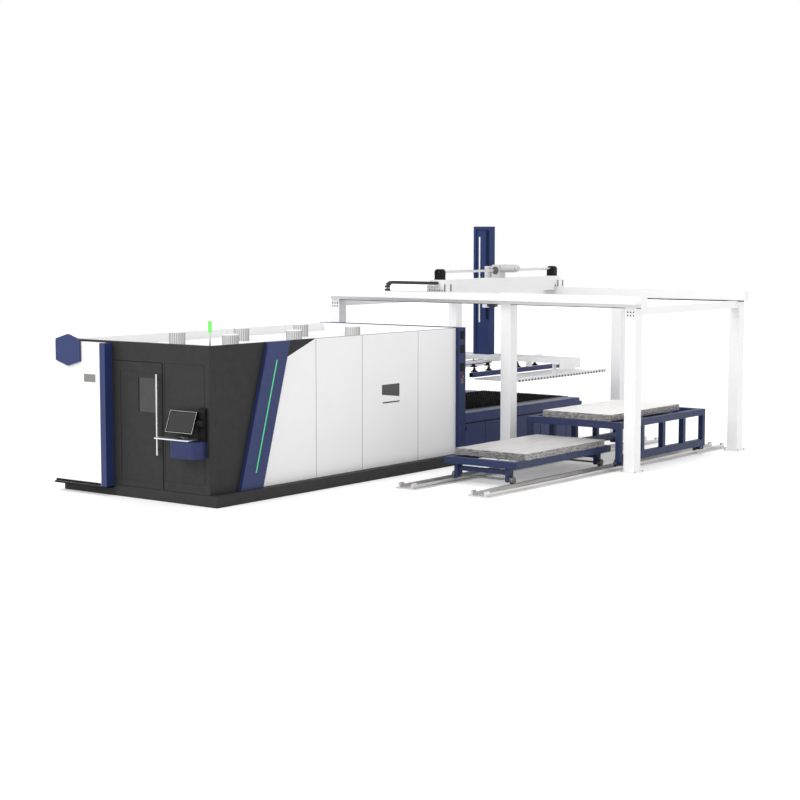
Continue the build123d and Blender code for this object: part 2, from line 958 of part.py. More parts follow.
def shuttle_frame():
    """Two side frames with a top beam and a recessed skirt, the pallet ledges and two ties."""
    pieces = []
    for side in (-1, 1):
        inner = table_x + side * wall_half
        outer = inner + side * shuttle_side
        skirt_outer = outer - side * skirt_inset
        top_x = sorted((inner, outer))
        skirt_x = sorted((inner, skirt_outer))
        profile = [
            (shuttle_y[0], shuttle_beam_low),
            (shuttle_y[1], shuttle_beam_low),
            (shuttle_y[1], shuttle_high - shuttle_step_drop),
            (shuttle_y[1] - shuttle_step, shuttle_high - shuttle_step_drop),
            (shuttle_y[1] - shuttle_step, shuttle_high),
            (shuttle_y[0], shuttle_high),
        ]
        frame = outline_yz(profile, top_x)
        skirt_y = (shuttle_y[0], shuttle_y[1] - shuttle_step)
        frame += block(skirt_x, skirt_y, (skirt_low, shuttle_beam_low))
        step = (skirt_y[1] - skirt_y[0] - foot_size) / 3
        for place in range(4):
            start = skirt_y[0] + place * step
            frame += block(skirt_x, (start, start + foot_size), (0, skirt_low))
        pieces.append(frame)
    pieces.extend(ledges((shuttle_y[0], shuttle_y[1] - shuttle_step)))
    across = (table_x - wall_half, table_x + wall_half)
    for start in (shuttle_y[0], shuttle_y[1] - shuttle_step - shuttle_tie):
        pieces.append(block(across, (start, start + shuttle_tie), (skirt_low, skirt_low + shuttle_tie)))
    return pieces


# Loading gantry

def gantry_posts():
    """Six square posts, each welded to its foot plate."""
    posts = []
    for x in post_xs:
        for y in (near_y, far_y):
            foot = block(about(x, post_foot), about(y, post_foot), (0, post_foot_height))
            shaft = block(about(x, post_size), about(y, post_size), (post_foot_height, post_high))
            posts.append(foot + shaft)
    return posts


def gantry_girders():
    girders = []
    for y in (near_y, far_y):
        girders.append(box_tube(girder_x, about(y, post_size), (girder_low, girder_high), gantry_wall, "x"))
    return girders


def tie_beams():
    """Beams that join the near and far posts at both ends of the gantry."""
    y = (near_y + post_size / 2, far_y - post_size / 2)
    z = (girder_low - tie_beam_height, girder_low)
    return [block(about(x, tie_beam_width), y, z) for x in (post_xs[0], post_xs[-1])]


def chain_tray():
    """Folded tray along the near girder that the drag chain lies in."""
    back = near_y - post_size / 2
    front = back - tray_depth_front
    profile = [
        (back, tray_floor_high - tray_floor),
        (front, tray_floor_high - tray_floor),
        (front, girder_high),
        (front + tray_skin, girder_high),
        (front + tray_skin, tray_floor_high),
        (back, tray_floor_high),
    ]
    return outline_yz(profile, girder_x)


def chain_y():
    back = near_y - post_size / 2
    return about(back - (tray_depth_front - tray_skin) / 2, chain_width)


def chain_run(x, height):
    """A straight run of chain links on a narrower core."""
    number = max(1, int((x[1] - x[0]) / chain_pitch))
    pitch = (x[1] - x[0]) / number
    z = about(height, chain_thickness)
    core_y = about(sum(chain_y()) / 2, chain_width - 2 * link_gap)
    run = block(x, core_y, about(height, chain_thickness / 2))
    for count in range(number):
        start = x[0] + count * pitch
        run += block((start + link_gap, start + pitch - link_gap), chain_y(), z)
    return run


def loop_x():
    return table_x - chain_loop_place


def chain_loop():
    """The chain's bend between its lower and upper runs."""
    middle = (chain_upper_height + chain_lower_height) / 2
    centre_radius = (chain_upper_height - chain_lower_height) / 2
    outer = centre_radius + chain_thickness / 2
    inner = centre_radius - chain_thickness / 2
    y = chain_y()
    through = (y[0] - overrun, y[1] + overrun)
    ring = rod_y(loop_x(), y, middle, outer) - rod_y(loop_x(), through, middle, inner)
    keep = block((loop_x() - 2 * outer, loop_x()), through, about(middle, 4 * outer))
    return ring & keep


# Bridge, mast and suction frame

def bridge():
    """Box beam with its end trucks and the mast's guide plate, and its deeper part between the girders."""
    y = (near_y - post_size / 2, far_y + post_size / 2)
    body = block(about(bridge_x, bridge_width), y, (bridge_low, bridge_high))
    bracket_high = chain_upper_height - chain_thickness / 2
    bracket_z = (bracket_high - chain_bracket_thickness, bracket_high)
    body += block(about(bridge_x, chain_bracket_width), (chain_y()[0], y[0]), bracket_z)
    truck_z = (girder_high + rolling_gap, girder_high + truck_rise)
    for row in (near_y, far_y):
        body += block(about(bridge_x, truck_width), about(row, truck_depth), truck_z)
    plate_x = (mast_right + sliding_gap, bridge_x - bridge_width / 2)
    plate_z = (girder_high - guide_plate_drop, girder_high + guide_plate_rise)
    body += block(plate_x, about(mid_y, guide_plate), plate_z)
    belly_y = (near_y + post_size / 2 + belly_gap, far_y - post_size / 2 - belly_gap)
    belly_z = (bridge_low - belly_depth, bridge_low)
    return body, block(about(bridge_x, bridge_width), belly_y, belly_z)


def cover_places():
    half = row_distance / 2 - cover_setback
    return [mid_y - half, mid_y + half]


def shaft_bore(y):
    """Hole that the drive shaft runs in."""
    return rod_y(bridge_x, y, shaft_height, shaft_radius + running_gap)


def shaft_covers():
    """Rounded bearing covers at the shaft's two ends, seated on the bridge."""
    covers = []
    z = (bridge_high, shaft_height + cover_over)
    for y in cover_places():
        body = block(about(bridge_x, cover_width), about(y, cover_depth), z)
        body = fillet(body.edges().filter_by(Axis.Y).group_by(Axis.Z)[-1], cover_width * 2 / 5)
        covers.append(body - shaft_bore(about(y, cover_depth + 2 * overrun)))
    return covers


def drive_motor():
    """Gearbox round the middle of the shaft with its motor lying along X."""
    body = block(about(bridge_x, gearbox_width), about(mid_y, gearbox_depth), (bridge_high, gearbox_high))
    body = chamfer(body.edges().filter_by(Axis.Y).group_by(Axis.Z)[-1], gearbox_width / 8)
    start = bridge_x + gearbox_width / 2
    height = gearbox_high - motor_radius
    body += rod_x((start, start + motor_length), mid_y, height, motor_radius)
    tail_x = (start + motor_length, start + motor_length + motor_tail)
    body += rod_x(tail_x, mid_y, height, motor_tail_radius)
    return body - shaft_bore(about(mid_y, gearbox_depth + 2 * overrun))


def drive_shaft():
    places = cover_places()
    y = (places[0] - cover_depth / 4, places[1] + cover_depth / 4)
    return rod_y(bridge_x, y, shaft_height, shaft_radius)


def mast():
    """Lifting mast: a wide channel column with closed back and stiff flanges."""
    x = about(mast_x, mast_width)
    y = about(mid_y, mast_depth)
    column = block(x, y, (mast_low, mast_high))
    hollow_x = (x[0] + mast_flange, x[1] - mast_flange)
    for face, side in ((y[0], -1), (y[1], 1)):
        deep = sorted((face - side * mast_web, face + side * overrun))
        column -= block(hollow_x, deep, (mast_low - overrun, mast_high - mast_flange))
    return column


def mast_rack():
    """Toothed rack bar on the mast's edge."""
    y = mid_y - mast_depth / 2 - rack_depth
    x = (mast_right - mast_flange, mast_right - mast_flange + rack_width)
    return block(x, (y, mid_y - mast_depth / 2), (rack_high - rack_length, rack_high))


def arm_z():
    return (mast_low - arm_tube, mast_low)


def suction_frame():
    """White carrying frame: hub plate, two arms, two long cup tubes and hanging end plates."""
    z = arm_z()
    x = (table_x - arm_reach, table_x + arm_reach)
    arm_x = (x[0] + end_plate_thickness, x[1] - end_plate_thickness)
    pieces = [block(about(mast_x, mast_width), about(mid_y, arm_spread - arm_tube), z)]
    for y in arm_rows():
        pieces.append(block(arm_x, about(y, arm_tube), z))
    for end in (x[0], arm_x[1]):
        plate_z = (z[1] - end_plate_drop, z[1])
        plate_y = about(mid_y, arm_spread + arm_tube)
        pieces.append(block((end, end + end_plate_thickness), plate_y, plate_z))
    for share in cup_side_shares:
        tube_x = about(table_x + share * side_beam_place, cup_tube)
        pieces.append(block(tube_x, about(mid_y, side_beam_length), (z[0] - cup_tube, z[0])))
    for side in (-1, 1):
        for y in arm_rows():
            hanger_x = about(table_x + side * side_beam_place, side_beam_size)
            pieces.append(block(hanger_x, about(y, arm_tube), (side_beam_low + side_beam_size, z[0])))
    return pieces


def arm_rows():
    """Y of the suction frame's two long arms."""
    return (mid_y - arm_spread / 2, mid_y + arm_spread / 2)


def cup_rows():
    start = mid_y - side_beam_length / 2
    return [start + share * side_beam_length for share in cup_shares]


def side_beams():
    """Blue long beams hung under the suction frame's arms."""
    z = (side_beam_low, side_beam_low + side_beam_size)
    y = about(mid_y, side_beam_length)
    beams = []
    for side in (-1, 1):
        x = about(table_x + side * side_beam_place, side_beam_size)
        beams.append(box_tube(x, y, z, gantry_wall, "y"))
    return beams


def suction_cups():
    """Round cups on stems under the long tubes."""
    stem_high = arm_z()[0] - cup_tube - cup_low
    profile = [
        (0, 0),
        (cup_radius, 0),
        (cup_radius, cup_lip),
        (cup_neck, cup_lip),
        (cup_neck, stem_high),
        (0, stem_high),
    ]
    cup = revolve(make_face(Plane.XZ * Polyline(*profile, close=True)), Axis.Z)
    cups = []
    for y in cup_rows():
        for share in cup_side_shares:
            cups.append(Pos(table_x + share * side_beam_place, y, cup_low) * cup)
    return cups


def fork_comb(side):
    """Fork comb: an outer carrier with inward tines, hung on shoes that run along the arms."""
    outer = table_x + side * (arm_reach - comb_inset)
    inner = outer - side * carrier_width
    tip = outer - side * tine_length
    y = about(mid_y, comb_length)
    carrier_z = (tine_low, tine_low + carrier_height)
    comb = block(sorted((outer, inner)), y, carrier_z)
    step = (comb_length - tine_size) / (tine_count - 1)
    for count in range(tine_count):
        start = y[0] + count * step
        comb += block(sorted((inner, tip)), (start, start + tine_size), (tine_low, tine_low + tine_size))
    shoe_z = (arm_z()[0] - sliding_gap - shoe_height, arm_z()[0] - sliding_gap)
    for place in arm_rows():
        hang = sorted((outer, outer - side * hanger_thickness))
        comb += block(hang, about(place, hanger_width), (carrier_z[1], shoe_z[1]))
        comb += block(sorted((outer, outer + side * hanger_width)), about(place, hanger_width), shoe_z)
    return comb


# Floor rails and carts

def floor_rails():
    """Two rail beds, each with a bolted rail for either cart and stops at both ends."""
    y = (table_start - rail_ahead, table_start + rail_behind)
    middle = (inner_gauge + outer_gauge) / 2
    pieces = []
    for side in (-1, 1):
        centre = carts_x + side * middle
        pieces.append(block(about(centre, rail_bed_width), y, (0, rail_bed_height)))
        for gauge in (inner_gauge, outer_gauge):
            x = about(carts_x + side * gauge, rail_width)
            pieces.append(block(x, y, (rail_bed_height, rail_top)))
            for start in (y[0], y[1] - stop_length):
                pieces.append(block(x, (start, start + stop_length), (rail_top, rail_top + stop_height)))
    return pieces


def wheel_discs(side, y, gauge):
    """Rolling disc and flange disc of one wheel, the flange on the inner side."""
    middle = carts_x + side * gauge
    inner = middle - side * wheel_width / 2
    tread = rod_x(about(middle, wheel_width), y, axle_height, wheel_radius)
    flange = rod_x(sorted((inner, inner - side * flange_width)), y, axle_height, flange_radius)
    return tread, flange


def lower_wheelset(y):
    """Two flanged wheels pressed on one axle."""
    inside = inner_gauge - wheel_width / 2 - flange_width
    pieces = [rod_x(about(carts_x, 2 * inside), y, axle_height, axle_radius)]
    for side in (-1, 1):
        pieces += wheel_discs(side, y, inner_gauge)
    return pieces


def upper_wheelset(y):
    """Two flanged wheels on stub axles that leave the space between them free."""
    start = outer_gauge + wheel_width / 2
    pieces = []
    for side in (-1, 1):
        tread, flange = wheel_discs(side, y, outer_gauge)
        stub_x = sorted((carts_x + side * start, carts_x + side * upper_width / 2))
        pieces += [tread + rod_x(stub_x, y, axle_height, axle_radius), flange]
    return pieces


def axle_block(x, y, high):
    """Bearing block that hangs from a cart's frame down to an axle."""
    body = block(x, about(y, leg_length), (leg_low, high))
    return body - rod_x((x[0] - overrun, x[1] + overrun), y, axle_height, axle_radius + running_gap)


def lower_wheel_places():
    return (lower_y[0] + lower_wheel_inset, lower_y[1] - lower_wheel_inset)


def lower_cart():
    """Low deck frame of channel members with four bearing blocks."""
    y = lower_y
    z = (lower_deck_low, lower_deck_high)
    x = about(carts_x, lower_deck_width)
    frame = block(x, y, z)
    pocket_x = (x[0] + cart_rail, x[1] - cart_rail)
    pocket = (y[1] - y[0] - 4 * cart_rail) / 3
    for count in range(3):
        start = y[0] + cart_rail + count * (pocket + cart_rail)
        frame -= block(pocket_x, (start, start + pocket), (z[0] - overrun, z[1] + overrun))
    clear = wheel_width / 2 + flange_width + leg_width / 2 + overrun
    for place in lower_wheel_places():
        for side in (-1, 1):
            frame += axle_block(about(carts_x + side * (inner_gauge - clear), leg_width), place, z[0])
        between = inner_gauge - clear - leg_width / 2
        tie_z = (lower_tie_low, lower_tie_low + lower_tie_height)
        frame += block((carts_x - between, carts_x + between), about(place, leg_width), tie_z)
    return frame


def sheet_stack(x, y, low):
    return block(x, y, (low, low + stack_height))


def lower_stack():
    start = lower_y[0] + lower_sheet_start
    return sheet_stack(about(carts_x, sheet_width), (start, start + sheet_length), lower_deck_high)


def upper_wheel_places():
    return (upper_y[0] + upper_wheel_inset, upper_y[1] - upper_wheel_inset)


def upper_cart():
    """High cart: a deck on two side trusses, open between them for the low cart."""
    y = upper_y
    x = about(carts_x, upper_width)
    z = (upper_deck_low, upper_deck_high)
    frame = block(x, y, z)
    pocket_x = (x[0] + cart_rail, x[1] - cart_rail)
    pocket = (y[1] - y[0] - 4 * cart_rail) / 3
    for count in range(3):
        start = y[0] + cart_rail + count * (pocket + cart_rail)
        frame -= block(pocket_x, (start, start + pocket), (z[0] - overrun, z[1] + overrun))
    step = (upper_length - upper_tube) / (upper_upright_count - 1)
    for side in (-1, 1):
        outer = carts_x + side * upper_width / 2
        column = sorted((outer, outer - side * upper_tube))
        frame += block(column, y, (upper_foot_low, upper_foot_high))
        for count in range(upper_upright_count):
            start = y[0] + count * step
            frame += block(column, (start, start + upper_tube), (upper_foot_high, upper_deck_low))
        for place in upper_wheel_places():
            frame += axle_block(column, place, upper_foot_low)
    return frame


def upper_stack():
    start = upper_y[0] + upper_sheet_start
    return sheet_stack(about(carts_x, sheet_width), (start, start + sheet_length), upper_deck_high)


save("base_plinth", base_plinth())
save("cabin_frame", cabin_frame())
save("front_frame", front_frame())
save("front_housing", front_housing())
save("front_pillar", front_pillar())
save("door_track", door_track())
save("front_door", front_door())
save("door_window", door_window())
save("door_handle", door_handle())
save("side_dark_panel", side_dark_panel())
save("side_band", side_band())
save("side_panels", *side_panels())
save("side_window", side_window())
save("left_panels", *left_panels())
save("roof", roof())
save("roof_vents", *roof_vents())
save("lamp_pole", lamp_pole())
save("lamp_lens", lamp_lens())
save("rear_portal", rear_portal())
save("portal_screens", *portal_screens())
save("console_pod", console_pod())
save("keyboard_tray", keyboard_tray())
save("monitor", monitor())
save("console_bracket", console_bracket())
save("console_stop", tray_place(stop_place_share) * push_button())
save("console_start", tray_place(start_place_share) * push_button())
save("portal_stop", portal_place() * push_button())
save("machine_bed", *machine_bed())
save("cutting_beam", cutting_beam())
save("head_carriage", head_carriage())
save("cutting_head", cutting_head())
save("upper_pallet", *pallet(pallet_rest_y, upper_level))
save("lower_pallet", *pallet(pallet_inside_y, upper_level - level_drop))
save("shuttle_frame", *shuttle_frame())
save("gantry_posts", *gantry_posts())
save("gantry_girders", *gantry_girders(), chain_tray())
save("tie_beams", *tie_beams())
save("chain_lower", chain_run((loop_x(), table_x + chain_fixed_place), chain_lower_height))
save("chain_upper", chain_run((loop_x(), bridge_x + chain_bracket_width / 2), chain_upper_height))
save("chain_loop", chain_loop())
save("bridge", *bridge())
save("shaft_covers", *shaft_covers())
save("drive_motor", drive_motor())
save("drive_shaft", drive_shaft())
save("mast", mast())
save("mast_rack", mast_rack())
save("suction_frame", *suction_frame())
save("side_beams", *side_beams())
save("suction_cups", *suction_cups())
save("right_comb", fork_comb(1))
save("left_comb", fork_comb(-1))
save("floor_rails", *floor_rails())
save("lower_cart", lower_cart())
save("lower_stack", lower_stack())
save("lower_axle_front", *lower_wheelset(lower_wheel_places()[0]))
save("lower_axle_rear", *lower_wheelset(lower_wheel_places()[1]))
save("upper_cart", upper_cart())
save("upper_stack", upper_stack())
save("upper_axle_front", *upper_wheelset(upper_wheel_places()[0]))
save("upper_axle_rear", *upper_wheelset(upper_wheel_places()[1]))
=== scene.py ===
# %% [markdown]
# A sheet laser cutting cell: a closed cabin, a shuttle table behind it, a loading gantry and two carts.
# The exact shapes come from CAD as a fixed frame. This lesson gives every CAD piece its finish, adds the
# small pieces that a CAD model leaves out, and lights the cell like a studio product picture.
# Everything is in metres, and every new piece but the two straight chain runs rides on one of the CAD bodies.

import math
import random

import bpy
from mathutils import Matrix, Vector


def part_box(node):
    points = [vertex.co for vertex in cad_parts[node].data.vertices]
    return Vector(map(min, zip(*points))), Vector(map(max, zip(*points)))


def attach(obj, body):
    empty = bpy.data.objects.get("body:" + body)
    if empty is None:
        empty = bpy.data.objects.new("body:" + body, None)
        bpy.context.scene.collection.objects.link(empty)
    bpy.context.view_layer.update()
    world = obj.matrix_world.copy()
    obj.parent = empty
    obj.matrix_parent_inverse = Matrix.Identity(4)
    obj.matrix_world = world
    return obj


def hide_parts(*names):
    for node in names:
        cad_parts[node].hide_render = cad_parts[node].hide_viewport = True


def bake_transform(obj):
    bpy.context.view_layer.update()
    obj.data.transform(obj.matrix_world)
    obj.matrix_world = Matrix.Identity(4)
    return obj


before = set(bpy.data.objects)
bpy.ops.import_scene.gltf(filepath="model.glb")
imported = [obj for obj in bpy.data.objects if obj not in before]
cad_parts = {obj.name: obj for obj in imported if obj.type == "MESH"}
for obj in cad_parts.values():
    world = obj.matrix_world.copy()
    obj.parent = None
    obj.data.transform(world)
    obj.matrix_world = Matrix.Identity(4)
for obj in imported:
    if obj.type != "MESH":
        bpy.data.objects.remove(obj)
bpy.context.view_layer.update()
bpy.context.tool_settings.mesh_select_mode = (False, False, True)

# %% [markdown]
# The camera stands far off the cabin's front right corner, higher than the walls, and looks slightly down.
# A long lens keeps the perspective gentle. The angles are yaw about Z and pitch below the horizon, so the
# camera is placed by numbers instead of by eye.

# %% Camera
camera_place = (20.5113, -23.1377, 4.3215)
camera_yaw = 37.368
camera_pitch = 5.4888
camera_lens = 78.5
tilt = math.radians(90 - camera_pitch)
bpy.ops.object.camera_add(location=camera_place, rotation=(tilt, 0, math.radians(camera_yaw)))
camera = bpy.context.object
camera.name = "corner_camera"
camera.data.lens = camera_lens
camera.data.sensor_width = 36
camera.data.clip_end = 500
bpy.context.scene.camera = camera
print("camera at", [round(v, 2) for v in camera.location])

# %% [markdown]
# The light is a bright, even room with one soft lamp from the front left. Only camera, mirror and glass rays
# see the pure white backdrop, so the white does not pour more light on the machine.
# The floor is a pale diffuse plane. It glows a little for the same rays, which makes it as white as the
# backdrop, and it still darkens where the machine shades it.

# %% Studio light
pure_white = (1.0, 1.0, 1.0, 1)
room_light = 1.02
backdrop_light = 1.0
key_strength = 1.15
key_spread = 40
floor_tone = 0.86
floor_glow = 0.24

scene = bpy.context.scene
scene.view_settings.view_transform = "Standard"
room = bpy.data.worlds.new("white_room")
scene.world = room
room.use_nodes = True


def white_for_view(tree):
    """One for camera, mirror and glass rays, and zero for the light itself."""
    path = tree.nodes.new("ShaderNodeLightPath")
    seen = path.outputs["Is Camera Ray"]
    for ray in ("Is Glossy Ray", "Is Transmission Ray"):
        either = tree.nodes.new("ShaderNodeMath")
        either.operation = "MAXIMUM"
        tree.links.new(seen, either.inputs[0])
        tree.links.new(path.outputs[ray], either.inputs[1])
        seen = either.outputs[0]
    return seen


sky = room.node_tree
lit = sky.nodes["Background"]
shown = sky.nodes.new("ShaderNodeBackground")
for background, strength in ((lit, room_light), (shown, backdrop_light)):
    background.inputs["Color"].default_value = pure_white
    background.inputs["Strength"].default_value = strength
choice = sky.nodes.new("ShaderNodeMixShader")
sky.links.new(white_for_view(sky), choice.inputs["Fac"])
sky.links.new(lit.outputs[0], choice.inputs[1])
sky.links.new(shown.outputs[0], choice.inputs[2])
sky.links.new(choice.outputs[0], sky.nodes["World Output"].inputs["Surface"])

bpy.ops.object.light_add(type="SUN", rotation=(math.radians(52), 0, math.radians(-14)))
key_lamp = bpy.context.object
key_lamp.name = "key_lamp"
key_lamp.data.energy = key_strength
key_lamp.data.angle = math.radians(key_spread)

bpy.ops.mesh.primitive_plane_add(size=240, location=(1.4, 2.6, -0.002))
floor = bpy.context.object
floor.name = "studio_floor"
pale = bpy.data.materials.new("pale_floor")
pale.use_nodes = True
ground = pale.node_tree
ground.nodes.remove(ground.nodes["Principled BSDF"])
matt = ground.nodes.new("ShaderNodeBsdfDiffuse")
matt.inputs["Color"].default_value = (floor_tone, floor_tone, floor_tone, 1)
glow = ground.nodes.new("ShaderNodeEmission")
lift = ground.nodes.new("ShaderNodeMath")
lift.operation = "MULTIPLY"
lift.inputs[1].default_value = floor_glow
ground.links.new(white_for_view(ground), lift.inputs[0])
ground.links.new(lift.outputs[0], glow.inputs["Strength"])
both = ground.nodes.new("ShaderNodeAddShader")
ground.links.new(matt.outputs[0], both.inputs[0])
ground.links.new(glow.outputs[0], both.inputs[1])
ground.links.new(both.outputs[0], ground.nodes["Material Output"].inputs["Surface"])
floor.data.materials.append(pale)
print("floor and lamps ready")

# %% [markdown]
# Materials come before the pieces. Each one is a small node tree on Object coordinates, so a pattern keeps
# its real size in metres on every part. These helpers add one thing each: a noise, a colour range that
# follows it, a roughness range and a bump.

# %% Helpers for finishes
noise_span = (0.3, 0.7)  # most of a noise's values lie in here


def start_finish(name, metallic=0.0):
    material = bpy.data.materials.new(name)
    material.use_nodes = True
    tree = material.node_tree
    shader = tree.nodes["Principled BSDF"]
    shader.inputs["Metallic"].default_value = metallic
    place = tree.nodes.new("ShaderNodeTexCoord")
    return material, tree, shader, place.outputs["Object"]


def stretched(tree, place, scale):
    mapping = tree.nodes.new("ShaderNodeMapping")
    mapping.inputs["Scale"].default_value = scale
    tree.links.new(place, mapping.inputs["Vector"])
    return mapping.outputs["Vector"]


def noise(tree, place, scale, detail=4.0):
    node = tree.nodes.new("ShaderNodeTexNoise")
    node.inputs["Scale"].default_value = scale
    node.inputs["Detail"].default_value = detail
    tree.links.new(place, node.inputs["Vector"])
    return node.outputs["Fac"]


def ramp_between(tree, factor, dark, light, span):
    """A colour that goes from dark to light while the factor crosses a span."""
    ramp = tree.nodes.new("ShaderNodeValToRGB")
    for end in (0, 1):
        ramp.color_ramp.elements[end].position = span[end]
        ramp.color_ramp.elements[end].color = (*(dark, light)[end], 1)
    tree.links.new(factor, ramp.inputs["Fac"])
    return ramp.outputs["Color"]


def colour_range(tree, shader, factor, dark, light):
    colour = ramp_between(tree, factor, dark, light, noise_span)
    tree.links.new(colour, shader.inputs["Base Color"])
    return colour


def rough_range(tree, shader, factor, smooth, rough):
    node = tree.nodes.new("ShaderNodeMapRange")
    node.inputs["From Min"].default_value = noise_span[0]
    node.inputs["From Max"].default_value = noise_span[1]
    node.inputs["To Min"].default_value = smooth
    node.inputs["To Max"].default_value = rough
    tree.links.new(factor, node.inputs["Value"])
    tree.links.new(node.outputs[0], shader.inputs["Roughness"])


def relief(tree, shader, factor, depth, strength):
    bump = tree.nodes.new("ShaderNodeBump")
    bump.inputs["Distance"].default_value = depth
    bump.inputs["Strength"].default_value = strength
    tree.links.new(factor, bump.inputs["Height"])
    tree.links.new(bump.outputs["Normal"], shader.inputs["Normal"])


def times(colour, share):
    return tuple(min(1.0, value * share) for value in colour)


# %% [markdown]
# Nearly every sheet of this machine is powder coated. A powder coat is a baked plastic film: its colour
# drifts very slightly over a large sheet, and close up it has a fine orange-peel skin that spreads the
# highlights. One function makes all the coats, with the colour, gloss and grain as its settings.

# %% Powder coats
def powder_coat(name, colour, smooth, rough, grain_size, grain_depth, drift=0.05, sheen=0.5):
    material, tree, shader, place = start_finish(name)
    shader.inputs["Specular IOR Level"].default_value = sheen
    cloud = noise(tree, place, 1.7, 3.0)
    colour_range(tree, shader, cloud, times(colour, 1 - drift), times(colour, 1 + drift))
    rough_range(tree, shader, noise(tree, place, 9.0), smooth, rough)
    relief(tree, shader, noise(tree, place, 1.0 / grain_size, 2.0), grain_depth, 0.35)
    return material


# name, colour, least and most roughness, size and depth of the grain, drift of the colour, sheen
white_coat = powder_coat("white_powder_coat", (0.87, 0.87, 0.874), 0.34, 0.46, 0.004, 0.0004, 0.012)
blue_coat = powder_coat("blue_powder_coat", (0.022, 0.036, 0.125), 0.34, 0.46, 0.004, 0.0004, 0.05, 0.32)
# A darker copy of the blue coat: painted shade on the rear portal and the console pod.
shaded_blue = powder_coat("blue_powder_coat_painted_shade", (0.016, 0.026, 0.094), 0.38, 0.5, 0.004, 0.0004, 0.05, 0.28)
mast_blue = powder_coat("mast_blue_powder_coat", (0.029, 0.047, 0.135), 0.5, 0.62, 0.004, 0.0004, 0.05, 0.08)
rack_navy = powder_coat("rack_navy_paint", (0.011, 0.018, 0.058), 0.5, 0.62, 0.004, 0.0004, 0.05, 0.08)
cart_blue = powder_coat("cart_blue_powder_coat", (0.019, 0.030, 0.086), 0.4, 0.52, 0.004, 0.0004, 0.05, 0.28)
charcoal_coat = powder_coat(
    "charcoal_powder_coat", (0.021, 0.021, 0.0215), 0.5, 0.64, 0.003, 0.0006, 0.05, 0.28
)
plinth_coat = powder_coat("plinth_powder_coat", (0.026, 0.026, 0.026), 0.52, 0.66, 0.003, 0.0006, 0.05, 0.25)
black_coat = powder_coat("black_powder_coat", (0.005, 0.005, 0.0055), 0.46, 0.6, 0.003, 0.0005, 0.05, 0.14)
grey_coat = powder_coat("grey_machine_paint", (0.55, 0.55, 0.545), 0.38, 0.5, 0.004, 0.0004, 0.03)
plate_grey = powder_coat("bare_plate_grey", (0.20, 0.20, 0.19), 0.4, 0.52, 0.004, 0.0003, 0.05)
pale_grey = powder_coat("pale_grey_paint", (0.68, 0.68, 0.68), 0.4, 0.52, 0.004, 0.0003, 0.03)
rib_grey = powder_coat("rib_grey_paint", (0.36, 0.36, 0.355), 0.4, 0.52, 0.004, 0.0003, 0.04)
machine_coat = powder_coat("dark_machine_paint", (0.09, 0.092, 0.095), 0.45, 0.6, 0.004, 0.0005)
print("powder coats ready")

# %% [markdown]
# Bare metal needs streaks. Rolled and drawn steel carries fine lines along the way it ran through the mill,
# so the noise is stretched along that axis. The stretched noise drives the colour and a shallow bump, and a
# second, slower noise varies the roughness, as handling does.

# %% Bare metals
def drawn_metal(name, dark, light, along, smooth, rough):
    material, tree, shader, place = start_finish(name, 1.0)
    streak = noise(tree, stretched(tree, place, along), 60.0, 5.0)
    colour_range(tree, shader, streak, dark, light)
    rough_range(tree, shader, noise(tree, place, 3.0), smooth, rough)
    relief(tree, shader, streak, 0.0003, 0.25)
    return material


# name, dark and light streaks, scale of the noise along each axis, least and most roughness
bright_steel = drawn_metal(
    "brushed_bright_steel", (0.56, 0.56, 0.57), (0.78, 0.78, 0.79), (1, 1, 0.04), 0.22, 0.36
)
rail_steel = drawn_metal(
    "drawn_rail_steel", (0.55, 0.54, 0.535), (0.78, 0.77, 0.76), (1, 0.02, 1), 0.36, 0.52
)
wheel_steel = drawn_metal(
    "turned_wheel_steel", (0.14, 0.14, 0.145), (0.26, 0.26, 0.265), (1, 1, 1), 0.4, 0.55
)
aluminium = drawn_metal("brushed_aluminium", (0.66, 0.67, 0.68), (0.84, 0.85, 0.86), (0.04, 1, 1), 0.26, 0.4)
slat_steel = drawn_metal(
    "scorched_slat_steel", (0.012, 0.012, 0.013), (0.05, 0.048, 0.047), (0.2, 1, 1), 0.5, 0.72
)


def sheet_metal_finish(name, painted_highlight=1.0):
    """Rolled sheet: painted shade darkens the stack's blotched sides, and painted_highlight lightens the
    tops.
    """
    material, tree, shader, place = start_finish(name, 0.55)
    roll = noise(tree, stretched(tree, place, (1, 0.05, 1)), 40.0, 4.0)
    top = colour_range(
        tree, shader, roll, times((0.62, 0.595, 0.585), painted_highlight), times((0.80, 0.78, 0.77), painted_highlight)
    )
    # Painted shade: faces that do not look up take the darker, blotched side colour.
    shape = tree.nodes.new("ShaderNodeNewGeometry")
    split = tree.nodes.new("ShaderNodeSeparateXYZ")
    tree.links.new(shape.outputs["Normal"], split.inputs[0])
    upward = tree.nodes.new("ShaderNodeMapRange")
    upward.inputs["From Min"].default_value = 0.2
    upward.inputs["From Max"].default_value = 0.8
    tree.links.new(split.outputs["Z"], upward.inputs["Value"])
    shaded_sides = tree.nodes.new("ShaderNodeMix")
    shaded_sides.data_type = "RGBA"
    blotch = noise(tree, stretched(tree, place, (1, 1, 5)), 14.0, 2.0)
    side = ramp_between(tree, blotch, (0.17, 0.16, 0.155), (0.52, 0.50, 0.49), (0.42, 0.58))
    tree.links.new(side, shaded_sides.inputs["A"])
    tree.links.new(upward.outputs[0], shaded_sides.inputs["Factor"])
    tree.links.new(top, shaded_sides.inputs["B"])
    tree.links.new(shaded_sides.outputs["Result"], shader.inputs["Base Color"])
    rough_range(tree, shader, noise(tree, place, 5.0), 0.34, 0.5)
    relief(tree, shader, roll, 0.0004, 0.3)
    return material


rolled_sheet = sheet_metal_finish("rolled_sheet_metal")
# The upper stack's tops are painted 1.3 times lighter: a painted highlight.
highlit_sheet = sheet_metal_finish("sheet_metal_painted_highlight", 1.3)
print("metals ready")

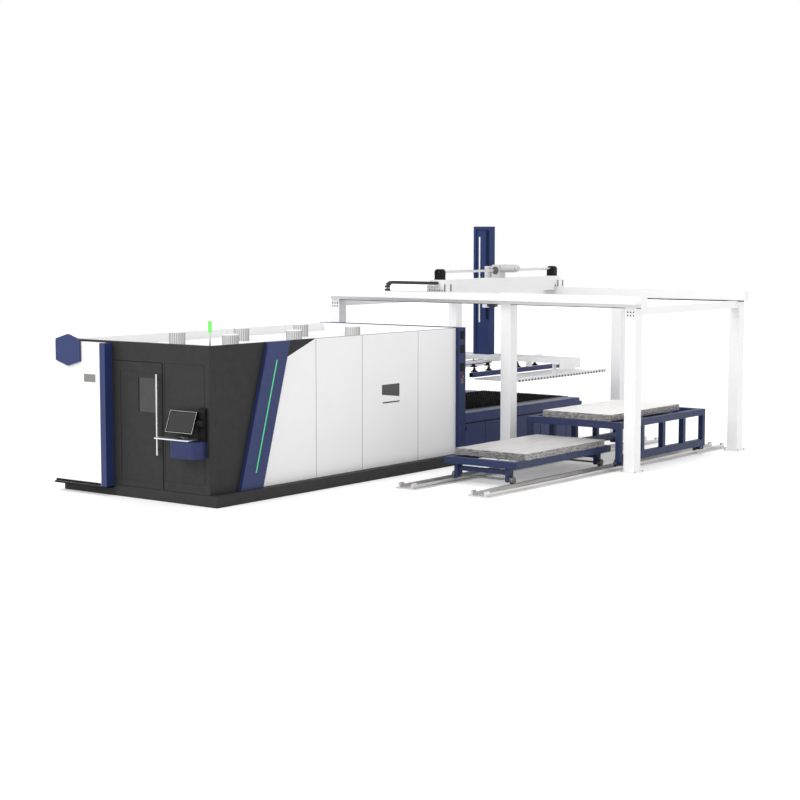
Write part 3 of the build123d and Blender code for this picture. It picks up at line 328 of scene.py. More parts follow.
# %% [markdown]
# The last group is plastics, rubber, glazing and lights. Glazing for a laser cabin is dark tinted plastic
# with a hard gloss. The lamp and the light bar are coloured lenses that also give light, so they keep an
# emission next to their own colour.

# %% Plastics, rubber and lights
def moulded(name, colour, smooth, rough, grain_size=0.0015, grain_depth=0.0002, sheen=0.5):
    material, tree, shader, place = start_finish(name)
    shader.inputs["Specular IOR Level"].default_value = sheen
    colour_range(tree, shader, noise(tree, place, 12.0), times(colour, 0.9), times(colour, 1.1))
    rough_range(tree, shader, noise(tree, place, 30.0), smooth, rough)
    relief(tree, shader, noise(tree, place, 1.0 / grain_size, 2.0), grain_depth, 0.3)
    return material


def lens(name, colour, strength):
    material, tree, shader, place = start_finish(name)
    colour_range(tree, shader, noise(tree, place, 8.0), times(colour, 0.85), colour)
    rough_range(tree, shader, noise(tree, place, 20.0), 0.12, 0.2)
    shader.inputs["Emission Color"].default_value = (*colour, 1)
    shader.inputs["Emission Strength"].default_value = strength
    return material


black_rubber = moulded("black_rubber", (0.010, 0.010, 0.010), 0.6, 0.8, sheen=0.16)
chain_plastic = moulded("chain_plastic", (0.022, 0.022, 0.024), 0.42, 0.58)
dark_glass = moulded("tinted_glazing", (0.027, 0.0275, 0.028), 0.10, 0.18, 0.05, 0.0002)
screen_glass = moulded("screen_glass", (0.012, 0.0122, 0.0125), 0.12, 0.2, 0.05, 0.0001)
key_plastic = moulded("key_plastic", (0.05, 0.05, 0.053), 0.4, 0.55)
red_plastic = moulded("red_button_plastic", (0.60, 0.035, 0.025), 0.25, 0.35)
button_blue = moulded("blue_button_plastic", (0.05, 0.25, 0.45), 0.25, 0.35)
lamp_green = lens("green_lamp_lens", (0.16, 0.85, 0.12), 0.35)
bar_green = lens("green_light_bar", (0.07, 0.62, 0.24), 0.22)
print("plastics and lights ready")

# %% [markdown]
# Now the CAD pieces get their finishes. A CAD mesh is never moved or changed: only its material slot is
# filled. The table below says which finish each sub-part wears.

# %% Paint the CAD pieces
def wear(piece, finish):
    piece.data.materials.clear()
    piece.data.materials.append(finish)


finishes = {
    white_coat: [
        "front_housing", "side_panels", "left_panels", "roof", "gantry_posts", "gantry_girders", "tie_beams",
        "bridge", "suction_frame", "roof_vents", "right_comb", "left_comb",
    ],
    blue_coat: ["front_pillar", "side_band", "shuttle_frame", "side_beams"],
    # painted shade: the portal and the pod wear the darker copy of the blue coat
    shaded_blue: ["rear_portal", "console_pod"],
    mast_blue: ["mast"],
    cart_blue: ["lower_cart", "upper_cart"],
    charcoal_coat: ["front_frame", "front_door", "side_dark_panel", "cabin_frame"],
    plinth_coat: ["base_plinth"],
    black_coat: ["portal_screens", "console_bracket", "shaft_covers", "door_track", "monitor"],
    grey_coat: ["drive_motor"],
    machine_coat: ["machine_bed", "cutting_beam", "head_carriage"],
    bright_steel: ["door_handle", "lamp_pole", "drive_shaft", "cutting_head"],
    aluminium: ["keyboard_tray"],
    rail_steel: ["floor_rails"],
    wheel_steel: ["lower_axle_front", "lower_axle_rear", "upper_axle_front", "upper_axle_rear"],
    rolled_sheet: ["lower_stack"],
    highlit_sheet: ["upper_stack"],
    slat_steel: ["upper_pallet", "lower_pallet"],
    rack_navy: ["mast_rack"],
    chain_plastic: ["chain_lower", "chain_upper", "chain_loop"],
    black_rubber: ["suction_cups"],
    dark_glass: ["door_window", "side_window"],
    red_plastic: ["console_stop", "portal_stop"],
    button_blue: ["console_start"],
    lamp_green: ["lamp_lens"],
}
painted = 0
for finish, names in finishes.items():
    for name in names:
        wear(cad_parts[name], finish)
        painted += 1
print("painted", painted, "of", len(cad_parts), "CAD pieces")

# %% [markdown]
# The helpers for modelling do by code what a hand does with the mouse: clear the selection, add a primitive
# at its size and place, pick faces by their direction, inset, push or taper them, round the edges, repeat a
# piece in a row, and join pieces. Each primitive ends with its place applied, so its object sits at the
# origin like the CAD pieces do.

# %% Helpers for modelling
def clear_selection():
    if bpy.context.mode != "OBJECT":
        bpy.ops.object.mode_set(mode="OBJECT")
    bpy.ops.object.select_all(action="DESELECT")


def hold(piece):
    clear_selection()
    piece.select_set(True)
    bpy.context.view_layer.objects.active = piece


def settle(piece, name):
    piece.name = name
    bpy.ops.object.transform_apply()
    return piece


def add_block(name, low, high):
    """A box between two corners."""
    clear_selection()
    bpy.ops.mesh.primitive_cube_add(size=1, location=[(a + b) / 2 for a, b in zip(low, high)])
    bpy.context.object.scale = [b - a for a, b in zip(low, high)]
    return settle(bpy.context.object, name)


def add_drum(name, middle, radius, length, axis, sides=24):
    """A round bar or disc along an axis."""
    turn = {"X": (0, math.pi / 2, 0), "Y": (math.pi / 2, 0, 0), "Z": (0, 0, 0)}[axis]
    clear_selection()
    bpy.ops.mesh.primitive_cylinder_add(
        vertices=sides, radius=radius, depth=length, location=middle, rotation=turn
    )
    return settle(bpy.context.object, name)


def pick_faces(piece, test):
    """Selects the faces whose middle and normal pass a test, and opens edit mode."""
    hold(piece)
    mesh = piece.data
    for group in (mesh.vertices, mesh.edges):
        group.foreach_set("select", [False] * len(group))
    for face in mesh.polygons:
        face.select = test(face.center, face.normal)
    bpy.ops.object.mode_set(mode="EDIT")


def push_in(piece, test, margin, depth):
    """Insets the picked faces and sinks them."""
    pick_faces(piece, test)
    bpy.ops.mesh.inset(thickness=margin, depth=-depth, use_even_offset=True)
    bpy.ops.object.mode_set(mode="OBJECT")
    return piece


def open_through(piece, axis, margin):
    """Insets the two faces that look along an axis, and joins them through the piece."""
    pick_faces(piece, lambda centre, normal: abs(normal[axis]) > 0.9)
    bpy.ops.mesh.inset(thickness=margin)
    bpy.ops.mesh.bridge_edge_loops()
    bpy.ops.object.mode_set(mode="OBJECT")
    return piece


def taper(piece, test, scale):
    """Scales the picked faces about their middle."""
    pick_faces(piece, test)
    bpy.ops.transform.resize(value=scale)
    bpy.ops.object.mode_set(mode="OBJECT")
    return piece


def apply_modifier(piece, modifier):
    hold(piece)
    bpy.ops.object.modifier_apply(modifier=modifier.name)
    return piece


def round_edges(piece, width, segments=2):
    modifier = piece.modifiers.new("edges", "BEVEL")
    modifier.width = width
    modifier.segments = segments
    modifier.limit_method = "ANGLE"
    return apply_modifier(piece, modifier)


def rounded_block(name, low, high, width, segments=2):
    return round_edges(add_block(name, low, high), width, segments)


def row(piece, count, step):
    """Repeats a piece count times at a constant step."""
    modifier = piece.modifiers.new("row", "ARRAY")
    modifier.use_relative_offset = False
    modifier.use_constant_offset = True
    modifier.constant_offset_displace = step
    modifier.count = count
    return apply_modifier(piece, modifier)


def turn_about(piece, angle, centre, axis):
    """Turns a placed piece about a point, and applies the turn."""
    hold(piece)
    bpy.context.scene.cursor.location = centre
    bpy.ops.object.origin_set(type="ORIGIN_CURSOR")
    piece.rotation_euler["XYZ".index(axis)] = angle
    bpy.ops.object.transform_apply()
    return piece


def move(piece, shift):
    hold(piece)
    piece.location = shift
    bpy.ops.object.transform_apply()
    return piece


def copy_at(piece, shift):
    """A copy with its own mesh, moved by a step."""
    hold(piece)
    bpy.ops.object.duplicate(linked=False)
    return move(bpy.context.object, shift)


def join(name, parts):
    clear_selection()
    for part in parts:
        part.select_set(True)
    bpy.context.view_layer.objects.active = parts[0]
    if len(parts) > 1:
        bpy.ops.object.join()
    parts[0].name = name
    return parts[0]


def spread(name, piece, shifts):
    """Joins a piece with copies of it, each moved by a step."""
    return join(name, [piece] + [copy_at(piece, shift) for shift in shifts])


def smooth(piece):
    hold(piece)
    bpy.ops.object.shade_smooth_by_angle(angle=math.radians(35))
    return piece


def dress(piece, finish, body):
    """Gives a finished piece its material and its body."""
    wear(piece, finish)
    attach(piece, body)
    print(piece.name, len(piece.data.polygons), "faces on", body)
    return piece


def facing(axis, sign):
    """A test for faces that look along one axis."""
    return lambda centre, normal: normal[axis] * sign > 0.9


# %% [markdown]
# The sign on the door housing is a plain six-sided shield. On the real machine it is a folded plate with a
# thick edge, so it starts as a six-sided disc, is stretched to the plate's outline, gets an inset rim and
# rounded edges. It stays bare. Next to it sits a small bare plate.

# %% Shield and plate on the housing
housing_low, housing_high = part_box("front_housing")
shield_width, shield_height, shield_depth = 0.58, 0.53, 0.044
shield_shoulder = 0.18
shield_middle = Vector((-1.405, housing_low.y - shield_depth / 2, 2.383))
clear_selection()
bpy.ops.mesh.primitive_cylinder_add(
    vertices=6, radius=0.5, depth=1, location=shield_middle, rotation=(math.pi / 2, 0, 0)
)
shield = bpy.context.object
shield.scale = (shield_width / math.cos(math.pi / 6), shield_height, shield_depth)
settle(shield, "shield_plate")
for vertex in shield.data.vertices:
    if abs(vertex.co.x - shield_middle.x) > 0.1:
        side = 1 if vertex.co.z > shield_middle.z else -1
        vertex.co.z = shield_middle.z + side * shield_shoulder
push_in(shield, facing(1, -1), 0.018, 0.006)
round_edges(shield, 0.004)
dress(shield, blue_coat, "root")

small_plate = add_block("bare_plate", (-1.055, housing_low.y - 0.006, 1.87), (-0.785, housing_low.y, 2.0))
push_in(small_plate, facing(1, -1), 0.008, 0.002)
round_edges(small_plate, 0.0015)
dress(small_plate, plate_grey, "root")

# %% [markdown]
# A slim light bar lies in the slot of the blue side band and shows the machine's state. The slot leans, so
# the bar is a box whose upper end is moved back by the lean of the band, and then rounded like a lens.

# %% Light bar
band_low, band_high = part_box("side_band")
plinth_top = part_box("base_plinth")[1].z
wall_height = band_high.z - plinth_top
band_foot = band_low.y
band_lean = 0.695
bar_rear = 0.300
bar_width = 0.026
bar_span = (0.11, 0.873)  # shares of the wall's height


def band_y(height, offset):
    return band_foot + offset + band_lean * (height - plinth_top) / wall_height


bar_low, bar_high = (plinth_top + share * wall_height for share in bar_span)
slot_back = band_high.x - 0.014
light_bar = add_block("light_bar", (slot_back, -1, bar_low), (band_high.x + 0.003, 1, bar_high))
for vertex in light_bar.data.vertices:
    near = bar_rear - bar_width if vertex.co.y < 0 else bar_rear
    vertex.co.y = band_y(vertex.co.z, near)
round_edges(light_bar, 0.004, 3)
dress(light_bar, bar_green, "root")

# %% [markdown]
# The door's window has a gasket, because a pane never meets painted sheet directly. A gasket is a frame: a
# box as large as the pane, opened through its two large faces. Below the side window lies a dark slot.

# %% Gasket and the slot below the side window
def window_frame(name, low, high, width):
    """A flat frame in the XZ plane."""
    piece = open_through(add_block(name, low, high), 1, width)
    return round_edges(piece, min(width, high[1] - low[1]) * 0.15)


pane_low, pane_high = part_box("door_window")
door_low, door_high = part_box("front_door")
door_gasket = window_frame(
    "door_window_gasket",
    (pane_low.x, door_low.y + 0.004, pane_low.z),
    (pane_high.x, pane_low.y - 0.0005, pane_high.z),
    0.014,
)
dress(door_gasket, charcoal_coat, "door")

glass_low, glass_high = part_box("side_window")
wall_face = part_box("side_panels")[1].x
sill_slot = add_block(
    "vent_slot",
    (wall_face - 0.001, glass_low.y + 0.02, glass_low.z - 0.095),
    (wall_face + 0.004, glass_high.y - 0.01, glass_low.z - 0.075),
)
push_in(sill_slot, facing(0, 1), 0.003, 0.003)
round_edges(sill_slot, 0.0008)
dress(sill_slot, black_rubber, "root")

# %% [markdown]
# The operator's place: a screen in its frame, a keyboard on the shelf. The glass lies in the recess of the
# screen's frame, which leans back by twenty degrees, so the plate is made upright and turned about the
# screen's centre. The keyboard is one key with a narrower top, repeated in rows on a low base.

# %% Screen and keyboard
screen_low, screen_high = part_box("monitor")
screen_middle = (screen_low + screen_high) / 2
screen_tilt = math.radians(-20)
glass = rounded_block(
    "screen_glass_plate",
    screen_middle + Vector((-0.272, -0.0145, -0.160)),
    screen_middle + Vector((0.272, -0.0115, 0.160)),
    0.001,
)
turn_about(glass, screen_tilt, screen_middle, "X")
dress(glass, screen_glass, "root")
trim = window_frame(
    "screen_trim",
    screen_middle + Vector((-0.290, -0.0195, -0.178)),
    screen_middle + Vector((0.290, -0.0165, 0.178)),
    0.0045,
)
turn_about(trim, screen_tilt, screen_middle, "X")
dress(trim, aluminium, "root")

tray_low, tray_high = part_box("keyboard_tray")
board_low = Vector((tray_low.x + 0.10, tray_low.y + 0.03, tray_high.z))
board = add_block("keyboard_base", board_low, board_low + Vector((0.40, 0.135, 0.012)))
push_in(board, facing(2, 1), 0.006, 0.003)
round_edges(board, 0.002)
key = add_block("key", board_low + Vector((0.012, 0.012, 0.009)), board_low + Vector((0.033, 0.033, 0.019)))
taper(key, facing(2, 1), (0.8, 0.8, 1))
row(key, 16, (0.0237, 0, 0))
row(key, 5, (0, 0.0232, 0))
dress(join("keyboard", [board, key]), key_plastic, "root")

stop_box, start_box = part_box("console_stop"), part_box("console_start")
pad_low = Vector((stop_box[1].x + 0.020, stop_box[0].y - 0.010, tray_high.z))
pad_high = Vector((start_box[0].x - 0.020, stop_box[1].y + 0.004, tray_high.z + 0.012))
pad = add_block("button_panel", pad_low, pad_high)
push_in(pad, facing(2, 1), 0.004, 0.002)
round_edges(pad, 0.0015)
pad_key = rounded_block(
    "pad_key", pad_low + Vector((0.010, 0.009, 0.010)), pad_low + Vector((0.024, 0.021, 0.016)), 0.002, 1
)
row(pad_key, 6, (0.0185, 0, 0))
row(pad_key, 2, (0, 0.020, 0))
dress(join("button_panel", [pad, pad_key]), aluminium, "root")

# %% [markdown]
# Sheets in a stack never lie perfectly flush: each one is shifted by a few millimetres and a little wavy.
# One sheet is a thin grid with thickness, bent by a cloud texture, and the stack is a set of them.
# The random numbers have a fixed seed, so the stack is the same every time.

# %% Sheet stacks
sheet_cloud = bpy.data.textures.new("sheet_waves", "CLOUDS")
sheet_cloud.noise_scale = 0.35
sheet_dice = random.Random(7)
sheet_margin = 0.012
sheet_wave = 0.010
sheet_share = 0.78
slip = 0.006


def stack_of_sheets(name, node, body, layers, finish):
    low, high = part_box(node)
    pitch = (high.z - low.z) / layers
    sheets = []
    for layer in range(layers):
        clear_selection()
        middle = ((low.x + high.x) / 2, (low.y + high.y) / 2, low.z + (layer + 0.5) * pitch)
        bpy.ops.mesh.primitive_grid_add(x_subdivisions=14, y_subdivisions=26, size=1, location=middle)
        sheet = bpy.context.object
        sheet.scale = (high.x - low.x - sheet_margin, high.y - low.y - sheet_margin, 1)
        settle(sheet, name + "_layer")
        wave = sheet.modifiers.new("waves", "DISPLACE")
        wave.texture = sheet_cloud
        wave.texture_coords = "LOCAL"
        wave.direction = "Z"
        wave.strength = sheet_wave
        apply_modifier(sheet, wave)
        body_thickness = sheet.modifiers.new("thickness", "SOLIDIFY")
        body_thickness.thickness = pitch * sheet_share
        body_thickness.offset = 0
        apply_modifier(sheet, body_thickness)
        shift = (sheet_dice.uniform(-slip, slip), sheet_dice.uniform(-slip, slip), 0)
        sheets.append(move(sheet, shift))
    stack = join(name, sheets)
    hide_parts(node)
    return dress(stack, finish, body)


stack_of_sheets("lower_sheets", "lower_stack", "lower_cart", 12, rolled_sheet)
# The upper stack wears the sheet finish with its painted highlight on top.
stack_of_sheets("upper_sheets", "upper_stack", "upper_cart", 12, highlit_sheet)

# %% [markdown]
# The pallets carry the sheet on toothed slats that stand on edge. A slat is a strip of a grid. Every second
# upper point is lowered, which leaves teeth, and the strip gets a thickness and is repeated along the pallet.
# The slats are scorched by the beam, so they wear the darkest metal.

# %% Pallets with toothed slats
def toothed_slat(name, low, high, teeth, tooth, thickness):
    clear_selection()
    middle = [(a + b) / 2 for a, b in zip(low, high)]
    bpy.ops.mesh.primitive_grid_add(
        x_subdivisions=2 * teeth, y_subdivisions=1, size=1, location=middle, rotation=(math.pi / 2, 0, 0)
    )
    slat = bpy.context.object
    slat.scale = (high[0] - low[0], high[2] - low[2], 1)
    settle(slat, name)
    pitch = (high[0] - low[0]) / (2 * teeth)
    for vertex in slat.data.vertices:
        step = round((vertex.co.x - low[0]) / pitch)
        if vertex.co.z > middle[2] and step % 2 == 0:
            vertex.co.z -= tooth
    solid = slat.modifiers.new("thickness", "SOLIDIFY")
    solid.thickness = thickness
    solid.offset = 0
    return apply_modifier(slat, solid)


def dressed_pallet(name, node, body):
    low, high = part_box(node)
    rail = 0.07
    tie = 0.05
    pitch = 0.0825
    end_room = 0.06
    teeth, tooth_depth, thickness = 34, 0.018, 0.005
    slat_low = high.z - 0.088
    count = int((high.y - low.y - end_room) / pitch)
    start = low.y + (high.y - low.y - (count - 1) * pitch) / 2
    slat_ends = (low.x + rail, start, slat_low), (high.x - rail, start, high.z)
    slat = toothed_slat(name + "_slat", *slat_ends, teeth, tooth_depth, thickness)
    row(slat, count, (0, pitch, 0))
    parts = [slat]
    for x in ((low.x, low.x + rail), (high.x - rail, high.x)):
        member = add_block("member", (x[0], low.y, low.z), (x[1], high.y, high.z - tooth_depth))
        parts.append(round_edges(member, 0.004))
    for share in (0, 1 / 3, 2 / 3, 1):
        y = low.y + share * (high.y - low.y - tie)
        bar = add_block("bar", (low.x + rail, y, low.z), (high.x - rail, y + tie, slat_low))
        parts.append(round_edges(bar, 0.003))
    pallet = join(name, parts)
    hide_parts(node)
    return dress(pallet, slat_steel, body)


dressed_pallet("upper_pallet_slats", "upper_pallet", "upper_pallet")
dressed_pallet("lower_pallet_slats", "lower_pallet", "lower_pallet")

# %% [markdown]
# The drag chain feeds cables to the moving bridge. It is a row of moulded links. The lower run lies in the
# tray, bends round, and the upper run goes back to the bridge. When the bridge travels, the bend travels
# half as far. Both runs are built in place and stay where they are; the bend rides on the chain's body.

# %% Drag chain
link_length = 0.07
link_share = 0.72  # of the pitch; the rest is the gap to the next link
link_height = 0.062


def chain_link(name, low, high):
    link = add_block(name, low, high)
    push_in(link, lambda centre, normal: abs(normal.z) > 0.9, 0.012, 0.010)
    return round_edges(link, 0.004)


def chain_run(name, node):
    low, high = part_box(node)
    count = int((high.x - low.x) / link_length)
    pitch = (high.x - low.x) / count
    link = chain_link(name + "_link", low, (low.x + pitch * link_share, high.y, high.z))
    row(link, count, (pitch, 0, 0))
    core = rounded_block(
        name + "_core",
        (low.x, low.y + 0.012, low.z + 0.014),
        (high.x, high.y - 0.012, high.z - 0.014),
        0.004, 1,
    )
    run = join(name, [link, core])
    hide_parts(node)
    wear(run, chain_plastic)
    return run


run_low, run_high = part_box("chain_upper")
run_y = (run_low.y + run_high.y) / 2
upper_run = chain_run("upper_chain_run", "chain_upper")
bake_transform(upper_run)
lower_run = chain_run("lower_chain_run", "chain_lower")
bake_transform(lower_run)

loop_low, loop_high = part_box("chain_loop")
loop_middle = Vector((loop_high.x, run_y, (loop_low.z + loop_high.z) / 2))
loop_outer = (loop_high.z - loop_low.z) / 2
loop_inner = loop_outer - link_height
bend_links = 6
half = math.pi * (loop_outer + loop_inner) / 2 / bend_links * link_share / 2
links = []
for count in range(bend_links):
    link = chain_link(
        "bend_link",
        (loop_middle.x - half, loop_low.y, loop_middle.z + loop_inner + 0.002),
        (loop_middle.x + half, loop_high.y, loop_middle.z + loop_outer - 0.004),
    )
    links.append(turn_about(link, -math.pi * (count + 0.5) / bend_links, loop_middle, "Y"))
bend = join("chain_bend", links)
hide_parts("chain_loop")
dress(bend, chain_plastic, "chain")

# %% [markdown]
# The mast lifts by a pinion in a toothed rack. The rack is a bar with one tooth repeated along it. Beside
# it, the mast's front carries a long pale strip. Black strips along the girders' lower edges are painted
# shade.

# %% Rack, mast strip and painted shade strips on the girders
rack_low, rack_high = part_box("mast_rack")
tooth_root = rack_low.y + 0.014
tooth_pitch = 0.0314
rack_bar = rounded_block("rack_bar", (rack_low.x, tooth_root, rack_low.z), rack_high, 0.002)
tooth = add_block("rack_tooth", rack_low, (rack_high.x, tooth_root, rack_low.z + 0.020))
taper(tooth, facing(1, -1), (1, 1, 0.45))
row(tooth, int((rack_high.z - rack_low.z) / tooth_pitch), (0, 0, tooth_pitch))
rack = join("toothed_rack", [rack_bar, tooth])
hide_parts("mast_rack")
dress(rack, rack_navy, "mast")

mast_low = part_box("mast")[0]
web_face = mast_low.y + 0.030
strip_x = mast_low.x + 0.105
strip = rounded_block(
    "mast_strip", (strip_x + 0.010, web_face - 0.006, 2.49), (strip_x + 0.044, web_face, 4.23), 0.003
)
dress(strip, white_coat, "mast")

girder_low, girder_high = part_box("gantry_girders")
post_low, post_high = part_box("gantry_posts")
post_inset = 0.165
girder_half = 0.111
post_rows = (post_low.y + post_inset, post_high.y - post_inset)
# Black strips along the girders' lower front edges: painted shade.
shade_strips = []
for y in post_rows:
    shade_strips.append(rounded_block(
        "girder_shade_strip",
        (girder_low.x + 0.01, y - 0.10, girder_low.z - 0.012),
        (girder_high.x - 0.01, y - 0.084, girder_low.z),
        0.002,
    ))
far_face = post_rows[1] - girder_half
shade_strips.append(rounded_block(
    "edge_shade_strip",
    (girder_low.x + 0.01, far_face - 0.014, girder_low.z - 0.010),
    (girder_high.x - 0.004, far_face, girder_low.z + 0.010),
    0.003,
))
dress(join("girder_shade_strips", shade_strips), black_rubber, "root")

# %% [markdown]
# Bolts hold the girders to the posts and the posts to the floor. One hexagon bolt head with a washer is
# made at every place, and all are joined into one piece. The middle posts show bolts at the floor only.

# %% Bolts on the posts
def bolt_head(name, middle, axis, sign, size):
    """A hexagon head on a washer, standing off a face along an axis."""
    index = "XYZ".index(axis)
    washer_middle = Vector(middle)
    washer_middle[index] += sign * size * 0.1
    head_middle = Vector(middle)
    head_middle[index] += sign * size * 0.5
    washer = add_drum(name, washer_middle, size * 1.15, size * 0.2, axis, 16)
    head = add_drum(name, head_middle, size, size * 0.6, axis, 6)
    round_edges(head, size * 0.12, 1)
    return join(name, [washer, head])


post_lines = (-2.0025, 2.1625, 4.8475)
girder_faces = ((post_rows[0] - girder_half, -1), (post_rows[1] + girder_half, 1))
anchor_places = (-0.138, 0.138)
bolts = []
for x in post_lines:
    outer_line = x != post_lines[1]
    for y, sign in girder_faces if outer_line else ():
        for across in (-0.06, 0, 0.06):
            for height in (2.838, 2.898):
                bolts.append(bolt_head("post_bolt", (x + across, y, height), "Y", sign, 0.0115))
    for y in post_rows:
        for dx in anchor_places:
            for dy in anchor_places:
                bolts.append(bolt_head("anchor_bolt", (x + dx, y + dy, 0.02), "Z", 1, 0.013))
dress(join("post_bolts", bolts), black_coat, "root")

# %% [markdown]
# Below the stop button on the portal sits a small plain plate for the pilot lamps. It ends short of the
# button, so the button can be pressed freely.

# %% Button plate on the portal
portal_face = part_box("rear_portal")[1].x
stop_low, stop_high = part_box("portal_stop")
stop_y = (stop_low.y + stop_high.y) / 2
stop_z = (stop_low.z + stop_high.z) / 2
plate = add_block(
    "button_plate",
    (portal_face, stop_y - 0.045, stop_z - 0.14),
    (portal_face + 0.003, stop_y + 0.045, stop_low.z - 0.010),
)
push_in(plate, facing(0, 1), 0.004, -0.001)
dress(plate, machine_coat, "root")

# %% [markdown]
# A black strip with a rounded lip is painted shadow: it fills the gap between the door's closing edge and
# the fixed panel, where deep shade lies. It sits on the fixed panel, so it stays when the door slides away.

# %% Painted shadow in the door's gap
gap_shadow = rounded_block(
    "door_gap_shadow",
    (door_high.x + 0.003, door_low.y - 0.004, door_low.z + 0.004),
    (door_high.x + 0.027, door_low.y, door_high.z),
    0.0018, 3,
)
dress(gap_shadow, black_coat, "root")

# %% [markdown]
# The roof collars wear a pale band with upright ribs from the roof up to their caps. The band is a drum whose
# two ends are inset and bridged, which opens it to a ring. One rib is made and turned about the collar's axis
# for each place. Band and ribs are then copied to the other collars.

# %% Bands and ribs on the roof collars
vent_low, vent_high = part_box("roof_vents")
vent_rim = 0.132
rib_count = 22
collar_x = (vent_low.x + vent_rim, vent_high.x - vent_rim)
collar_step = (vent_high.y - vent_low.y - 2 * vent_rim) / 2
first_collar = Vector((collar_x[0], vent_low.y + vent_rim, vent_high.z))
rib_foot = vent_low.z - vent_high.z + 0.004
ribs = []
for count in range(rib_count):
    rib = rounded_block(
        "rib",
        first_collar + Vector((vent_rim - 0.006, -0.007, rib_foot)),
        first_collar + Vector((vent_rim + 0.007, 0.007, -0.016)),
        0.002, 1,
    )
    ribs.append(turn_about(rib, 2 * math.pi * count / rib_count, first_collar, "Z"))
band_middle = first_collar + Vector((0, 0, (rib_foot - 0.012) / 2))
band = add_drum("collar_bands", band_middle, vent_rim + 0.001, -0.012 - rib_foot, "Z", 44)
open_through(band, 2, 0.012)
collar_shifts = [Vector((x - collar_x[0], line * collar_step, 0)) for line in range(3) for x in collar_x]
others = collar_shifts[1:]  # the first collar has its piece already
dress(spread("collar_ribs", join("collar_ribs", ribs), others), rib_grey, "root")
dress(spread("collar_bands", smooth(band), others), pale_grey, "root")

# %% [markdown]
# The suction cups are rubber bells. A cone with a narrow top gives the bell, its underside is inset and
# pushed up to make the lip, and a stem with a nut joins it to the tube above. Copies fill all the places.

# %% Suction cups
cups_low, cups_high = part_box("suction_cups")
cup_radius = 0.06
cup_shares = (0.08, 0.27, 0.42, 0.58, 0.73, 0.92)
cup_x = (cups_low.x + cup_radius, cups_high.x - cup_radius)
cup_run = (cups_high.y - cups_low.y - 2 * cup_radius) / (cup_shares[-1] - cup_shares[0])
first_cup = Vector((cup_x[0], cups_low.y + cup_radius, cups_low.z))
bell_height = 0.056
stem_foot = 0.040
clear_selection()
bpy.ops.mesh.primitive_cone_add(
    vertices=28, radius1=cup_radius + 0.015, radius2=0.022, depth=bell_height,
    location=first_cup + Vector((0, 0, bell_height / 2)),
)
bell = settle(bpy.context.object, "suction_bell")
push_in(bell, facing(2, -1), 0.008, 0.018)
stem_length = cups_high.z - cups_low.z - stem_foot
stem_middle = first_cup + Vector((0, 0, stem_foot + stem_length / 2))
stem = add_drum("cup_stem", stem_middle, 0.014, stem_length, "Z", 16)
nut = add_drum("cup_nut", first_cup + Vector((0, 0, 0.068)), 0.030, 0.028, "Z", 6)
round_edges(nut, 0.003, 1)
cup = smooth(join("suction_bells", [bell, stem, nut]))
cup_shifts = [
    Vector((x - cup_x[0], (share - cup_shares[0]) * cup_run, 0)) for share in cup_shares for x in cup_x
]
cup_set = spread("suction_bells", cup, cup_shifts[1:])
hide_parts("suction_cups")
dress(cup_set, black_rubber, "mast")

# %% [markdown]
# The tines of the fork combs are tubes that run through their carrier. Their open ends are dark inside; black
# discs in the tube ends are painted shade for that, and show as a row of dots along the comb's outer edge.

# %% Painted shade in the tube ends of the fork combs
comb_low, comb_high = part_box("right_comb")
tine_count = 30
tine_size = 0.024
tine_step = (comb_high.y - comb_low.y - tine_size) / (tine_count - 1)
comb_reach = 2.0
table_x = (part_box("upper_pallet")[0].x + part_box("upper_pallet")[1].x) / 2
for side, body in ((1, "right_comb"), (-1, "left_comb")):
    tube_end_shade = add_drum(
        body + "_tube_end_shade",
        (table_x + side * (comb_reach + 0.003), comb_low.y + tine_size / 2, comb_low.z + tine_size),
        0.020, 0.010, "X", 16,
    )
    push_in(tube_end_shade, facing(0, side), 0.004, 0.002)
    row(tube_end_shade, tine_count, (0, tine_step, 0))
    dress(tube_end_shade, black_rubber, body)

# %% [markdown]
# The shuttle table's side is sheet metal under a heavy beam: a black strip below the beam as painted shadow
# of the gap there, seams between the sheets, and a small pull for the scrap drawer. Each seam is a rounded
# strip laid on the skirt.

# %% Painted shadow strip, seams and pull on the shuttle table
shuttle_low, shuttle_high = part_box("shuttle_frame")
skirt_x = shuttle_high.x - 0.045
beam_underside = 0.72
# The first strip, right under the beam, is painted shadow.
shade_strip_and_seams = [rounded_block(
    "seam",
    (skirt_x, shuttle_low.y + 0.01, beam_underside - 0.030),
    (skirt_x + 0.004, shuttle_high.y - 0.12, beam_underside),
    0.001, 1,
)]
for share in (0.22, 0.44, 0.66, 0.88):
    y = shuttle_low.y + share * (shuttle_high.y - shuttle_low.y)
    seam_high = (skirt_x + 0.003, y + 0.004, beam_underside - 0.034)
    shade_strip_and_seams.append(rounded_block("seam", (skirt_x, y - 0.004, 0.06), seam_high, 0.001, 1))
pull = add_block("pull", (skirt_x, 3.70, 0.565), (skirt_x + 0.012, 3.86, 0.645))
push_in(pull, facing(0, 1), 0.012, 0.009)
round_edges(pull, 0.002)
dress(join("shuttle_shade_strip_and_seams", shade_strip_and_seams + [pull]), black_rubber, "root")

# %% [markdown]
# The girders are hollow sections, and their open ends are closed by painted caps with a rounded edge.

# %% End caps on the girders
cap_half = 0.109
cap_depth = 0.005
caps = []
for y in post_rows:
    for x, way in ((girder_low.x, -1), (girder_high.x, 1)):
        end = sorted((x, x + way * cap_depth))
        caps.append(rounded_block(
            "end_cap",
            (end[0], y - cap_half, girder_low.z + 0.002),
            (end[1], y + cap_half, girder_high.z - 0.002),
            0.0015,
        ))
dress(join("girder_end_caps", caps), white_coat, "root")

# %% [markdown]
# The bridge's drive motor is finned for cooling. A fin is a thin disc round the motor's body, repeated along
# its axis.

